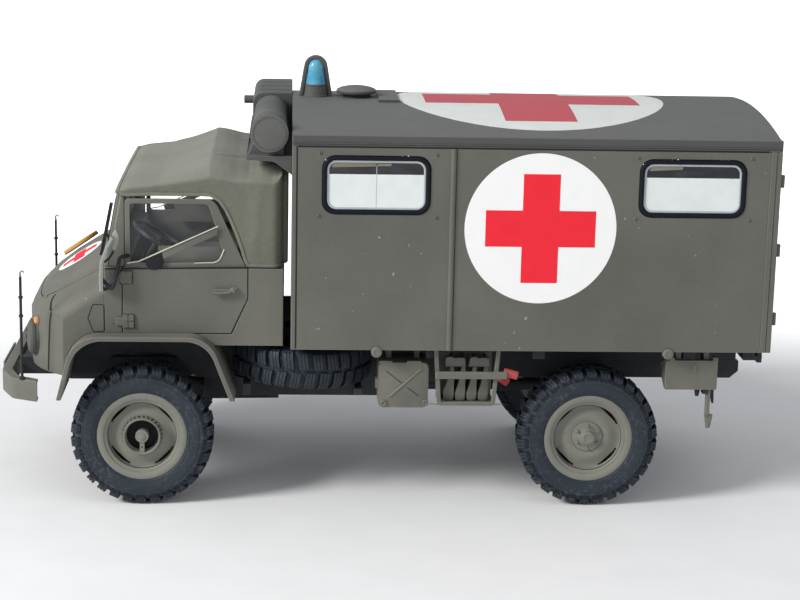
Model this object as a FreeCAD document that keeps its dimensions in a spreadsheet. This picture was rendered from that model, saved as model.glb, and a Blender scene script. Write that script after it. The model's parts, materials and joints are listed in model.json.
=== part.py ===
"""Scale model of a military ambulance truck: forward-cab 4x4 chassis, canvas-topped cab and a box body.

Lengths in millimetres.  +X points to the front, +Y to the left, +Z up.  The wheels stand on Z = 0
and X = 0 is the middle of the whole model.
"""
import FreeCAD, Part
import math
import os
import re
import Sketcher
from FreeCAD import Vector

doc = FreeCAD.newDocument("ambulance_truck")

# ---------------------------------------------------------------------------------------------
# Driving sizes: name, value, meaning
# ---------------------------------------------------------------------------------------------
SIZES = [
    # wheels and axles
    ("wheelbase", 82.86, "front axle to rear axle"),
    ("front_axle_x", 44.13, "front axle from the middle of the model"),
    ("track", 46.6, "between the middle planes of the two wheels of an axle"),
    ("tyre_radius", 13.16, "over the lugs"),
    ("tyre_width", 7.2, "at the widest part of the sidewall"),
    ("rim_radius", 8.2, "over the flanges"),
    ("rim_seat_radius", 7.4, "bead seat"),
    ("rim_width", 6.0, "over the flanges"),
    ("rim_wall", 0.4, "thickness of rim and wheel disc"),
    ("seat_gap", 0.02, "between a tyre and its rim"),
    ("spindle_radius", 1.25, "wheel spindle"),
    ("running_gap", 0.05, "radial play of a wheel on its spindle"),
    ("wheel_boss_radius", 2.5, "boss that holds the spindle bore"),
    ("hub_ring_radius", 3.4, "open ring on a front hub"),
    ("hub_cap_radius", 1.25, "cap in the middle of a hub"),
    ("slot_radius", 6.1, "middle of the four slots in the wheel disc"),
    ("slot_length", 3.6, "each slot"),
    ("slot_width", 0.7, "each slot"),
    ("portal_lift", 3.2, "axle tube above the wheel centre"),
    ("portal_radius", 2.4, "rounded ends of a portal gear case"),
    ("portal_width", 2.4, "gear case along the axle"),
    ("axle_tube_radius", 1.6, "axle tube"),
    ("diff_radius", 3.7, "differential case"),
    ("diff_width", 5.6, "differential case along the axle"),
    ("knuckle_width", 1.5, "steering knuckle along the axle"),
    # chassis frame
    ("rail_spacing", 24.0, "between the middle planes of the rails"),
    ("rail_width", 1.8, "one rail across"),
    ("rail_depth", 3.4, "one rail from top to bottom"),
    ("rail_over_axle", 8.2, "underside of a rail above the wheel centre"),
    ("rail_dip", 3.9, "drop of the rails between the axles"),
    ("dip_start", 11.6, "rear of the front axle where the rails start down"),
    ("dip_floor_start", 17.0, "rear of the front axle where the drop is complete"),
    ("dip_floor_end", 45.0, "rear of the front axle where the rails turn up"),
    ("dip_end", 58.0, "rear of the front axle where the rails are level again"),
    ("front_overhang", 23.6, "front end of the rails ahead of the front axle"),
    ("rear_overhang", 32.37, "rear face of the box behind the rear axle"),
    ("rail_setback", 1.6, "rear end of the rails ahead of the rear face of the box"),
    ("crossmember_size", 2.2, "side of a square crossmember"),
    ("coil_radius", 1.9, "outside of a coil spring"),
    ("coil_wire", 0.95, "one turn of a coil spring"),
    ("damper_radius", 0.75, "shock absorber"),
    # cab
    ("cab_back", 25.83, "rear wall of the cab behind the front axle"),
    ("cab_width", 54.0, "over the side panels"),
    ("cab_lift", 5.94, "underside of the cab above the rails"),
    ("cab_side_height", 14.4, "underside of the cab to the waist line"),
    ("cab_wall", 1.0, "cab panels"),
    ("door_front", 3.2, "front edge of the door ahead of the front axle"),
    ("door_rear", 19.33, "rear edge of the door behind the front axle"),
    ("cowl_front", 6.5, "foot of the windscreen ahead of the front axle"),
    ("door_thickness", 1.0, "door leaf"),
    ("door_gap", 0.15, "between the door and the panels round it"),
    ("sill_height", 2.3, "underside of the cab to the lower edge of the door"),
    ("window_height", 12.6, "waist line to the top of the window frame"),
    ("window_frame", 0.9, "width of the window frame of a door"),
    ("glass_thickness", 0.4, "clear panes"),
    ("screen_height", 13.9, "waist line to the top of the windscreen frame"),
    ("screen_rake", 2.5, "top of the windscreen behind its foot"),
    ("screen_frame", 1.3, "windscreen frame bars"),
    ("canvas_thickness", 0.8, "canvas top"),
    ("canvas_shoulder", 22.5, "middle of the cab to the crease of the canvas top"),
    ("nose_length", 15.9, "foot of the windscreen to the front of the nose"),
    ("nose_base", 11.65, "lower edge of the nose above the wheel centre"),
    ("headlamp_radius", 3.05, "headlamp cover"),
    ("headlamp_y", 18.6, "headlamp from the middle of the nose"),
    ("headlamp_z", 16.9, "headlamp above the wheel centre"),
    # mudguards
    ("arch_radius", 14.3, "half the length of a wheel arch over the tyre"),
    ("arch_height", 19.0, "underside of the mudguard above the wheel centre"),
    ("guard_inner", 17.0, "inner edge of the mudguard from the middle"),
    ("guard_outer", 30.5, "outer lip of the mudguard from the middle"),
    ("guard_thickness", 0.84, "mudguard sheet"),
    # bumper
    ("bumper_reach", 26.1, "front face of the bumper ahead of the front axle"),
    ("bumper_depth", 3.9, "bumper from top to bottom"),
    ("bumper_base", 7.2, "lower edge of the bumper above the wheel centre"),
    ("bumper_half", 29.0, "end of the bumper from the middle"),
    ("bumper_straight", 18.0, "where the bumper starts to sweep back"),
    ("bumper_sweep", 7.4, "how far the ends sweep back"),
    ("bumper_sheet", 0.8, "bumper sheet"),
    ("bumper_flange", 1.8, "bumper flanges"),
    ("pole_radius", 0.28, "width marker poles"),
    ("pole_height", 19.2, "width marker poles above the bumper"),
    # box body
    ("cab_box_gap", 1.4, "between the cab and the box"),
    ("box_width", 61.2, "over the side panels"),
    ("box_lift", 6.18, "underside of the box above the rails"),
    ("box_height", 37.16, "underside of the box to the roof rail"),
    ("box_wall", 1.2, "box panels"),
    ("front_post", 0.84, "front wall with its corner posts"),
    ("rear_post", 2.1, "rear frame with its corner posts"),
    ("roof_rail", 2.1, "height of the rail round the roof"),
    ("roof_ledge", 2.0, "flat top of the rail beside the roof skin"),
    ("roof_rise", 3.1, "crown of the roof above its rail"),
    ("roof_wall", 1.0, "roof skin"),
    ("floor_thickness", 1.4, "box floor"),
    ("pane_length", 19.5, "side window over its seal"),
    ("pane_height", 10.7, "side window over its seal"),
    ("pane_corner", 2.4, "corner radius of a side window"),
    ("pane_base", 25.0, "underside of the box to the lower edge of the windows"),
    ("front_pane_inset", 5.3, "front edge of the box to the front window"),
    ("rear_pane_inset", 6.3, "rear edge of the box to the rear window"),
    ("seal_width", 1.0, "rubber seal round a window"),
    ("seal_proud", 0.25, "seal standing out of the wall"),
    ("trim_from_front", 28.75, "front edge of the box to the upright trim"),
    ("trim_radius", 0.45, "half-round trim"),
    ("rear_door_half", 25.4, "hinge edge of a rear door from the middle"),
    ("rear_door_base", 1.8, "underside of the box to the rear doors"),
    ("rear_door_height", 34.4, "rear doors"),
    ("rear_door_thickness", 1.2, "rear door leaf"),
    ("hinge_proud", 0.8, "rear door hinges standing out of the door"),
    # things under the box
    ("gear_face", 28.0, "outer face of what hangs under the box, from the middle"),
    ("spare_gap", 2.06, "between the rear foot of the front wheel arch and the spare tyre"),
    ("spare_y", 15.0, "middle of the spare wheel"),
    ("spare_drop", 8.39, "underside of the box body to the underside of the spare tyre"),
    ("spare_tilt", 2.5, "slope of the spare wheel in degrees"),
    ("storage_gap", 0.7, "between the spare tyre and the storage box"),
    ("storage_length", 9.2, "storage box"),
    ("storage_depth", 7.4, "storage box across the model"),
    ("storage_height", 8.5, "storage box"),
    ("storage_drop", 3.0, "underside of the box body to the storage box"),
    ("rack_gap", 0.85, "between the storage box and the chock rack"),
    ("rack_length", 12.3, "chock rack at its top"),
    ("rack_drop", 10.9, "underside of the box body to the foot of the rack"),
    ("rack_bar", 0.7, "bars of the rack"),
    ("rack_taper", 0.8, "how far each leg of the rack leans in towards its foot"),
    ("locker_gap", 0.5, "between the rear tyre and the rear locker"),
    ("locker_length", 9.7, "rear locker"),
    ("locker_height", 5.6, "rear locker"),
    ("locker_depth", 7.0, "rear locker from its face to its inner edge"),
    ("locker_drop", 2.2, "underside of the box body to the rear locker"),
    # roof gear
    ("beacon_back", 4.4, "beacon behind the front edge of the box"),
    ("beacon_radius", 1.85, "lower edge of the beacon dome"),
    ("beacon_foot", 1.7, "height of the conical foot of the beacon"),
    ("beacon_top", 6.5, "top of the dome above the crown of the roof"),
    ("guard_span", 6.4, "between the outer sides of the feet of the beacon guard"),
    ("guard_top_span", 4.6, "between the outer sides of the beacon guard at its top"),
    ("guard_rise", 7.8, "top of the beacon guard above the crown of the roof"),
    ("guard_bar", 0.75, "strap of the beacon guard"),
    ("guard_depth", 1.3, "strap of the beacon guard along the width of the roof"),
    ("fan_back", 12.2, "roof fan behind the front edge of the box"),
    ("fan_radius", 3.85, "roof fan cap"),
    ("heater_radius", 3.15, "heater drum"),
    ("heater_ahead", 4.06, "heater drum axis ahead of the box"),
    ("heater_lift", 1.8, "heater drum axis above the foot of the roof rail"),
    ("heater_shelf", 4.1, "heater drum axis above its shelf"),
    ("shelf_reach", 4.2, "front edge of the shelf ahead of the heater drum axis"),
    ("housing_rise", 3.1, "top of the heater housing above the drum axis"),
    ("heater_end", 28.0, "near end of the heater drum from the middle"),
]

sheet = doc.addObject("Spreadsheet::Sheet", "Sizes")
for row, (name, value, meaning) in enumerate(SIZES, 1):
    sheet.set(f"A{row}", name)
    sheet.set(f"B{row}", str(value))
    sheet.set(f"C{row}", meaning)
    sheet.setAlias(f"B{row}", name)
doc.recompute()
ALIASES = {name for name, _, _ in SIZES}

# Places that follow from the sizes
PLACES = {
    "axle_z": "tyre_radius",
    "rear_axle_x": "front_axle_x - wheelbase",
    "wheel_y": "track / 2",
    "rail_y": "rail_spacing / 2",
    "rail_base": "axle_z + rail_over_axle",
    "rail_top": "rail_base + rail_depth",
    "rail_front": "front_axle_x + front_overhang",
    "rail_rear": "box_rear + rail_setback",
    "cab_rear": "front_axle_x - cab_back",
    "cab_base": "rail_top + cab_lift",
    "cab_half": "cab_width / 2",
    "waist": "cab_base + cab_side_height",
    "cowl": "front_axle_x + cowl_front",
    "door_front_x": "front_axle_x + door_front",
    "door_rear_x": "front_axle_x - door_rear",
    "sill": "cab_base + sill_height",
    "box_front": "cab_rear - cab_box_gap",
    "box_rear": "rear_axle_x - rear_overhang",
    "box_half": "box_width / 2",
    "box_base": "rail_top + box_lift",
    "box_top": "box_base + box_height",
    "roof_edge": "box_top + roof_rail",
    "crown": "roof_edge + roof_rise",
    "bumper_x": "front_axle_x + bumper_reach",
    "bumper_z": "axle_z + bumper_base",
    "bumper_top": "bumper_z + bumper_depth",
    "spare_x": "front_axle_x - arch_radius - tyre_radius - spare_gap",
    "storage_front": "spare_x - tyre_radius - storage_gap",
    "storage_rear": "storage_front - storage_length",
    "rack_front": "storage_rear - rack_gap",
    "rack_rear": "rack_front - rack_length",
    "locker_front": "rear_axle_x - tyre_radius - locker_gap",
    "locker_rear": "locker_front - locker_length",
    "beacon_x": "box_front - beacon_back",
    "fan_x": "box_front - fan_back",
    "heater_x": "box_front + heater_ahead",
    "heater_z": "box_top + heater_lift",
    "spare_bottom": "box_base - spare_drop",
    "rim_half": "rim_width / 2",
    "nose_front": "cowl + nose_length",
}


def bind(text):
    """Write an expression of size and place names as one that the spreadsheet understands."""
    def word(match):
        name = match[0]
        if name in PLACES:
            return "(" + bind(PLACES[name]) + ")"
        return f"Sizes.{name}" if name in ALIASES else name
    return re.sub(r"[a-z][a-z_0-9]*", word, str(text))


def size(text):
    """Value of an expression of size and place names."""
    return float(sheet.evalExpression(bind(text)))


# ---------------------------------------------------------------------------------------------
# Modelling helpers: every length is an expression bound to the sheet
# ---------------------------------------------------------------------------------------------
AXES = {"XY": ("XY_Plane", 1), "XZ": ("XZ_Plane", -1), "YZ": ("YZ_Plane", 1)}
NODES = {}
COUNT = {}


def fresh(kind):
    COUNT[kind] = COUNT.get(kind, 0) + 1
    return f"{kind}_{COUNT[kind]}"


def node(name, made):
    """Register a sub-part under its own name."""
    made.Label = name
    NODES[name] = made
    return made


def join(*terms):
    return " + ".join(f"({term})" for term in terms)


def minus(term):
    return f"-({term})"


def body(name):
    made = doc.addObject("PartDesign::Body", name + "_body")
    made.AllowCompound = True
    return made


def sketch(owner, plane, offset):
    role, sign = AXES[plane]
    made = owner.newObject("Sketcher::SketchObject", fresh("outline"))
    support = next(f for f in owner.Origin.OriginFeatures if f.Role == role)
    made.AttachmentSupport = (support, [""])
    made.MapMode = "FlatFace"
    made.setExpression("AttachmentOffset.Base.z", bind(offset if sign > 0 else minus(offset)))
    return made


def pin(made, index, point, u, v):
    """Hold one sketch point at the place that two expressions give."""
    for kind, term in (("DistanceX", u), ("DistanceY", v)):
        number = made.addConstraint(Sketcher.Constraint(kind, -1, 1, index, point, size(term)))
        made.setExpression(f"Constraints[{number}]", bind(term))


def outline(made, corners):
    """Closed outline of corners (u, v) or (u, v, radius), each value an expression."""
    count = len(corners)
    places = [Vector(size(c[0]), size(c[1]), 0) for c in corners]
    radii = [size(c[2]) if len(c) > 2 else 0.0 for c in corners]
    reach = []
    for i, place in enumerate(places):
        back = (places[i - 1] - place).normalize()
        ahead = (places[(i + 1) % count] - place).normalize()
        half = back.getAngle(ahead) / 2
        cut = radii[i] / math.tan(half) if radii[i] else 0.0
        reach.append((place + back * cut, place + ahead * cut, back, ahead, half))
    lines = [made.addGeometry(Part.LineSegment(reach[i][1], reach[(i + 1) % count][0]))
             for i in range(count)]
    for i, corner in enumerate(corners):
        before, after = lines[i - 1], lines[i]
        if not radii[i]:
            made.addConstraint(Sketcher.Constraint("Coincident", before, 2, after, 1))
            pin(made, after, 1, corner[0], corner[1])
            continue
        start, end, back, ahead, half = reach[i]
        centre = places[i] + (back + ahead).normalize() * (radii[i] / math.sin(half))
        turn = back.cross(ahead).z
        first, last = (start, end) if turn < 0 else (end, start)
        angle = [math.atan2(p.y - centre.y, p.x - centre.x) for p in (first, last)]
        circle = Part.Circle(centre, Vector(0, 0, 1), radii[i])
        arc = made.addGeometry(Part.ArcOfCircle(circle, angle[0], angle[1]))
        tip = made.addGeometry(Part.Point(places[i]))
        made.toggleConstruction(tip)
        pin(made, tip, 1, corner[0], corner[1])
        made.addConstraint(Sketcher.Constraint("PointOnObject", tip, 1, before))
        made.addConstraint(Sketcher.Constraint("PointOnObject", tip, 1, after))
        near, far = (1, 2) if turn < 0 else (2, 1)
        made.addConstraint(Sketcher.Constraint("Tangent", before, 2, arc, near))
        made.addConstraint(Sketcher.Constraint("Tangent", arc, far, after, 1))
        number = made.addConstraint(Sketcher.Constraint("Radius", arc, radii[i]))
        made.setExpression(f"Constraints[{number}]", bind(corner[2]))


def pad(owner, plane, corners, low, high):
    """Add a plate between two levels across the plane of its outline."""
    start = high if plane == "XZ" else low
    base = sketch(owner, plane, start)
    outline(base, corners)
    made = owner.newObject("PartDesign::Pad", fresh("pad"))
    made.Profile = base
    made.setExpression("Length", bind(f"({high}) - ({low})"))
    return made


def pocket(owner, plane, corners, low, high):
    """Cut an outline between two levels out of what the body has so far."""
    start = high if plane == "XZ" else low
    base = sketch(owner, plane, start)
    outline(base, corners)
    made = owner.newObject("PartDesign::Pocket", fresh("pocket"))
    made.Profile = base
    made.Reversed = True
    made.setExpression("Length", bind(f"({high}) - ({low})"))
    return made


def plate(name, plane, corners, low, high):
    made = body(name)
    pad(made, plane, corners, low, high)
    return made


def rectangle(u0, u1, v0, v1, radius=None):
    corners = [(u0, v0), (u1, v0), (u1, v1), (u0, v1)]
    return [c + (radius,) for c in corners] if radius else corners


def block(x0, x1, y0, y1, z0, z1):
    """Box between expressions."""
    made = doc.addObject("Part::Box", fresh("block"))
    for prop, low, high in (("Length", x0, x1), ("Width", y0, y1), ("Height", z0, z1)):
        made.setExpression(prop, bind(f"({high}) - ({low})"))
    for axis, low in (("x", x0), ("y", y0), ("z", z0)):
        made.setExpression(f"Placement.Base.{axis}", bind(low))
    return made


TURN = {"X": (Vector(0, 1, 0), 90), "Y": (Vector(1, 0, 0), -90), "Z": (Vector(0, 0, 1), 0)}


def rod(axis, radius, x, y, z, length):
    """Cylinder along an axis from its low end."""
    made = doc.addObject("Part::Cylinder", fresh("rod"))
    made.setExpression("Radius", bind(radius))
    made.setExpression("Height", bind(length))
    made.Placement.Rotation = FreeCAD.Rotation(*TURN[axis])
    for name, term in (("x", x), ("y", y), ("z", z)):
        made.setExpression(f"Placement.Base.{name}", bind(term))
    return made


def strut(radius, start, end):
    """Cylinder between two points given as expressions."""
    low = Vector(*(size(term) for term in start))
    high = Vector(*(size(term) for term in end))
    made = doc.addObject("Part::Feature", fresh("strut"))
    made.Shape = Part.makeCylinder(size(radius), (high - low).Length)
    made.Placement = FreeCAD.Placement(low, FreeCAD.Rotation(Vector(0, 0, 1), high - low))
    return made


def fused(*pieces):
    made = doc.addObject("Part::MultiFuse", fresh("fused"))
    made.Shapes = list(pieces)
    made.Refine = True
    return made


def cut(base, *tools):
    tool = tools[0] if len(tools) == 1 else fused(*tools)
    made = doc.addObject("Part::Cut", fresh("cut"))
    made.Base, made.Tool = base, tool
    return made


def common(*pieces):
    made = doc.addObject("Part::MultiCommon", fresh("common"))
    made.Shapes = list(pieces)
    return made


def group(*pieces):
    made = doc.addObject("Part::Compound", fresh("group"))
    made.Links = list(pieces)
    return made


def mirrored(source):
    """The same piece on the right-hand side."""
    made = doc.addObject("Part::Mirroring", fresh("mirror"))
    made.Source = source
    made.Normal = Vector(0, 1, 0)
    return made


def both_sides(*pieces):
    return group(*pieces, *(mirrored(piece) for piece in pieces))


def solid(shape):
    made = doc.addObject("Part::Feature", fresh("shape"))
    made.Shape = shape
    return made


# ---------------------------------------------------------------------------------------------
# Wheels
# ---------------------------------------------------------------------------------------------
def turned(name, corners, axis="Y"):
    """Body turned about the Y axis from (distance along Y, radius) or about Z from (radius, height)."""
    made = body(name)
    base = sketch(made, "YZ" if axis == "Y" else "XZ", "0")
    outline(base, corners)
    spin = made.newObject("PartDesign::Revolution", fresh("turn"))
    spin.Profile = base
    role = axis + "_Axis"
    spin.ReferenceAxis = (next(f for f in made.Origin.OriginFeatures if f.Role == role), [""])
    spin.Angle = 360
    return made


def place(made, x, y, z, axis=Vector(0, 0, 1), angle=0.0):
    made.Placement.Rotation = FreeCAD.Rotation(axis, angle)
    for name, term in (("x", x), ("y", y), ("z", z)):
        made.setExpression(f"Placement.Base.{name}", bind(term))
    return made


def tyre(name):
    """Tyre with its beads between the rim flanges."""
    bead = "rim_half - rim_wall - seat_gap"
    half = [("0", "rim_seat_radius + seat_gap"), (bead, "rim_seat_radius + seat_gap"),
            (bead, "rim_radius + seat_gap"),
            ("tyre_width / 2", "0.6 * rim_radius + 0.4 * tyre_radius"),
            ("tyre_width / 2 - 0.15", "tyre_radius - 1.2"),
            ("tyre_width / 2 - 0.8", "tyre_radius")]
    other = [(minus(c[0]),) + c[1:] for c in reversed(half[1:])]
    return turned(name, half[1:] + other)


def rim(name, front):
    """Rim, dished disc with four slots, and the hub of a front or a rear wheel."""
    face = "rim_half - 1.5"
    bore = "spindle_radius + running_gap"
    ring = [(face, "hub_ring_radius"), ("rim_half + 0.4", "hub_ring_radius"),
            ("rim_half + 0.4", "hub_ring_radius - rim_wall"), (face, "hub_ring_radius - rim_wall")]
    corners = [("-rim_half", "rim_seat_radius - rim_wall"), ("-rim_half", "rim_radius"),
               ("rim_wall - rim_half", "rim_radius"), ("rim_wall - rim_half", "rim_seat_radius"),
               ("rim_half - rim_wall", "rim_seat_radius"), ("rim_half - rim_wall", "rim_radius"),
               ("rim_half", "rim_radius"), ("rim_half", "rim_seat_radius - rim_wall"),
               ("rim_half - 1.3", "rim_seat_radius - rim_wall"),
               ("rim_half - 0.7", "hub_ring_radius + 1.1"), *(ring if front else ring[:1]),
               (face, "hub_cap_radius"), ("rim_half + 0.2", "hub_cap_radius"),
               ("rim_half + 0.2", "0"), ("rim_half - 1.9", "0"), ("rim_half - 1.9", bore),
               ("0.6 - rim_half", bore), ("0.6 - rim_half", "wheel_boss_radius"),
               ("rim_half - 2.4", "wheel_boss_radius"),
               ("rim_half - 1.9", "rim_seat_radius - rim_wall")]
    made = turned(name, corners)
    slot = pocket(made, "XZ", rectangle("-slot_length / 2", "slot_length / 2",
                                        "slot_radius - slot_width / 2",
                                        "slot_radius + slot_width / 2"),
                  "rim_half - 2.8", "rim_half")
    ring_of = made.newObject("PartDesign::PolarPattern", fresh("pattern"))
    ring_of.Originals = [slot]
    ring_of.Axis = (next(f for f in made.Origin.OriginFeatures if f.Role == "Y_Axis"), [""])
    ring_of.Angle = 360
    ring_of.Occurrences = 4
    made.Tip = ring_of
    return made


def upright(made, x, y, z, side):
    """Place a wheel piece with its outer face to one side and its slots at 45 degrees."""
    made.Placement.Rotation = (FreeCAD.Rotation(Vector(0, 0, 1), 0 if side > 0 else 180)
                               * FreeCAD.Rotation(Vector(0, 1, 0), 45))
    for name, term in (("x", x), ("y", y), ("z", z)):
        made.setExpression(f"Placement.Base.{name}", bind(term))
    return made


for end, axle_x in (("front", "front_axle_x"), ("rear", "rear_axle_x")):
    for hand, side in (("left", 1), ("right", -1)):
        spot = (axle_x, "wheel_y" if side > 0 else "-wheel_y", "axle_z")
        label = f"{end}_{hand}"
        node(f"{label}_tyre", upright(tyre(f"{label}_tyre"), *spot, side))
        node(f"{label}_rim", upright(rim(f"{label}_rim", end == "front"), *spot, side))

# Spare wheel, lying over the dip of the left rail with its face down
SPARE_LIE = FreeCAD.Rotation(Vector(0, 1, 0), -size("spare_tilt")) * FreeCAD.Rotation(Vector(1, 0, 0), 90)
for piece, made in (("tyre", tyre("spare_tyre")), ("rim", rim("spare_rim", False))):
    made.Placement.Rotation = SPARE_LIE
    for name, term in (("x", "spare_x"), ("y", "spare_y"), ("z", "spare_bottom + tyre_width / 2")):
        made.setExpression(f"Placement.Base.{name}", bind(term))
    node(f"spare_{piece}", made)

# ---------------------------------------------------------------------------------------------
# Axles, springs and drive line
# ---------------------------------------------------------------------------------------------
CASE_OUTER = "wheel_y - rim_half - 2.1"
CASE_INNER = "wheel_y - rim_half - 2.1 - portal_width"
TUBE_Z = "axle_z + portal_lift"
SPINDLE_END = "wheel_y + rim_half - 2.1"


def spindle(axle_x, start):
    return rod("Y", "spindle_radius", axle_x, start, "axle_z", f"({SPINDLE_END}) - ({start})")


def portal_case(axle_x):
    """Gear case that drops from the raised axle tube to the wheel centre."""
    r = "portal_radius"
    corners = [(f"({axle_x}) - {r}", f"axle_z - {r}", "0.98 * portal_radius"),
               (f"({axle_x}) + {r}", f"axle_z - {r}", "0.98 * portal_radius"),
               (f"({axle_x}) + {r}", f"({TUBE_Z}) + {r}", "0.98 * portal_radius"),
               (f"({axle_x}) - {r}", f"({TUBE_Z}) + {r}", "0.98 * portal_radius")]
    return plate("portal_case", "XZ", corners, CASE_INNER, CASE_OUTER)


def axle(axle_x, *ends):
    tube = rod("Y", "axle_tube_radius", axle_x, minus(CASE_INNER), TUBE_Z, f"2 * ({CASE_INNER})")
    half = [("0.4", "diff_radius + 0.4"), ("0.4", "diff_radius"), ("diff_width / 2", "0.7 * diff_radius"),
            ("diff_width / 2 + 1.2", "axle_tube_radius - 0.1")]
    other = [(minus(c[0]), c[1]) for c in half]
    profile = half + [("diff_width / 2 + 1.2", "0"), (minus("diff_width / 2 + 1.2"), "0"), *reversed(other)]
    differential = place(turned("differential", profile), axle_x, "0", TUBE_Z)
    case = portal_case(axle_x)
    return fused(tube, differential, case, mirrored(case),
                 *ends, *(mirrored(end) for end in ends))


node("front_axle", axle("front_axle_x"))
node("rear_axle", axle("rear_axle_x", spindle("rear_axle_x", CASE_OUTER)))
knuckle = fused(rod("Y", "portal_radius - 0.2", "front_axle_x", CASE_OUTER, "axle_z", "knuckle_width"),
                spindle("front_axle_x", CASE_OUTER))
node("front_knuckles", both_sides(knuckle))

COIL_TURNS = 3


def coil_spring(axle_x):
    """Coil spring standing on the axle tube under the rail, its turns drawn as ridges."""
    foot, height = f"{TUBE_Z} + axle_tube_radius", f"(rail_base - ({TUBE_Z}) - axle_tube_radius)"
    groove = "coil_radius - 0.5 * coil_wire"
    ridges = [("coil_radius" if i % 2 else groove, f"{i} / {2 * COIL_TURNS} * {height}")
              for i in range(2 * COIL_TURNS + 1)]
    made = turned("coil_spring", [("0", "0"), *ridges, ("0", height)], "Z")
    return place(made, axle_x, "rail_y", foot)


def damper(axle_x):
    """Telescopic shock absorber from behind the axle tube up to the outside of the rail."""
    foot = (f"({axle_x}) - axle_tube_radius - damper_radius", "rail_y + rail_width + 1.2", TUBE_Z)
    top = (f"({axle_x}) - axle_tube_radius - damper_radius - 1.6", "rail_y + rail_width / 2 + damper_radius",
           "rail_base + 2.2")
    return strut("damper_radius", foot, top)


node("suspension", both_sides(*[make(axle_x) for axle_x in ("front_axle_x", "rear_axle_x")
                                for make in (coil_spring, damper)]))

GEARBOX_FRONT = "front_axle_x - 10.5"
GEARBOX_REAR = "front_axle_x - 25"
node("engine", plate("engine", "XZ", [("front_axle_x + 4.6", "rail_base - 0.4"),
                                      ("front_axle_x + 9", f"{TUBE_Z} + 2", "1"),
                                      ("front_axle_x + 16", f"{TUBE_Z} + 2", "1"),
                                      ("front_axle_x + 16", "rail_top + 8", "1"),
                                      ("front_axle_x + 4.6", "rail_top + 8")], "-5.5", "5.5"))
gear_case = plate("gear_case", "XZ", [(GEARBOX_REAR, f"{TUBE_Z} - 2"), (GEARBOX_FRONT, f"{TUBE_Z} - 2.2"),
                                      (GEARBOX_FRONT, f"{TUBE_Z} + 3.6", "1"),
                                      (GEARBOX_REAR, f"{TUBE_Z} + 2.2", "1")], "-4.2", "4.2")
CASE_EDGE = "diff_radius + 0.4"
node("gearbox", fused(gear_case,
                      rod("X", "1.15", GEARBOX_FRONT, "0", TUBE_Z,
                          f"front_axle_x - ({CASE_EDGE}) - ({GEARBOX_FRONT})"),
                      rod("X", "1.15", f"rear_axle_x + {CASE_EDGE}", "0", TUBE_Z,
                          f"({GEARBOX_REAR}) - rear_axle_x - ({CASE_EDGE})"),
                      strut("0.9", (f"{GEARBOX_FRONT} - 0.5", "0", f"{TUBE_Z} + 2.6"),
                            ("front_axle_x + 4.45", "0", "rail_base + 1.4"))))

# ---------------------------------------------------------------------------------------------
# Chassis frame
# ---------------------------------------------------------------------------------------------
DIP = [("front_axle_x - dip_start", "0"), ("front_axle_x - dip_floor_start", "-rail_dip"),
       ("front_axle_x - dip_floor_end", "-rail_dip"), ("front_axle_x - dip_end", "0")]
rail_line = ([("rail_front", "rail_top")] + [(x, f"rail_top + {z}", "4") for x, z in DIP]
             + [("rail_rear", "rail_top"), ("rail_rear", "rail_top - 2"), ("rail_rear + 1.6", "rail_base")]
             + [(x, f"rail_base + {z}", "4") for x, z in reversed(DIP)] + [("rail_front", "rail_base")])
left_rail = plate("left_rail", "XZ", rail_line, "rail_y - rail_width / 2", "rail_y + rail_width / 2")
node("left_frame_rail", left_rail)
node("right_frame_rail", mirrored(left_rail))


def crossmember(x, drop="0"):
    half = "rail_y - rail_width / 2"
    middle = f"rail_top - rail_depth / 2 - ({drop})"
    return block(f"({x}) - crossmember_size / 2", f"({x}) + crossmember_size / 2", minus(half), half,
                 f"{middle} - crossmember_size / 2", f"{middle} + crossmember_size / 2")


RAIL_INNER = "rail_y - rail_width / 2"
RAIL_OUTER = "rail_y + rail_width / 2"
carrier_bars = [block(f"spare_x + {out} - 0.7", f"spare_x + {out} + 0.7", RAIL_INNER, "spare_y + 10",
                      "rail_top - rail_dip", f"spare_bottom + {out} * tan(spare_tilt) - 0.02")
                for out in (-10.3, 10.3)]
coupling = fused(block("rail_rear - 0.4", "rail_rear + 0.1", "-3.2", "3.2", "rail_base", "rail_top"),
                 block("rail_rear - 1.4", "rail_rear - 0.4", "-1.4", "1.4", "rail_base + 0.2",
                       "rail_base + 2.6"))
node("frame_crossmembers", group(crossmember("rail_front - 1.2"),
                                 crossmember("front_axle_x - 34", "rail_dip"),
                                 crossmember("front_axle_x - 60"),
                                 crossmember("rear_axle_x - 9"),
                                 fused(crossmember("rail_rear + 1.2"), coupling), *carrier_bars))

bearers = [block(f"({x}) - 1.1", f"({x}) + 1.1", "3 - box_half", "box_half - 3", "box_base - 2.2", "box_base")
           for x in ("storage_rear - 0.6", "rear_axle_x + 10", "locker_rear + 5.36", "box_rear + 3.2")]
sill_beam = block("box_rear + 2.2", "storage_front - 0.5", RAIL_INNER, RAIL_OUTER, "rail_top", "box_base")
node("box_subframe", fused(*bearers, sill_beam, mirrored(sill_beam)))

# ---------------------------------------------------------------------------------------------
# Bumper, plate and marker poles
# ---------------------------------------------------------------------------------------------
def bumper_outline(depth):
    """Plan of the bumper: straight middle and ends that sweep back, as a band of one depth."""
    half = [("bumper_x", "bumper_straight + 2.5", "4.5"), ("bumper_x - 2.6", "bumper_half - 2.4", "2.5"),
            ("bumper_x - bumper_sweep", "bumper_half")]
    back = [(f"bumper_x - bumper_sweep", f"bumper_half - 1.1 * ({depth})"),
            (f"bumper_x - 2.6 - 0.6 * ({depth})", f"bumper_half - 2.4 - ({depth})", "1.5"),
            (f"bumper_x - ({depth})", f"bumper_straight + 2.5 - 0.4 * ({depth})", "3")]
    left = half + back
    right = [(c[0], minus(c[1])) + c[2:] for c in reversed(left)]
    return left[:3] + back + right[:3] + right[3:]


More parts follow.
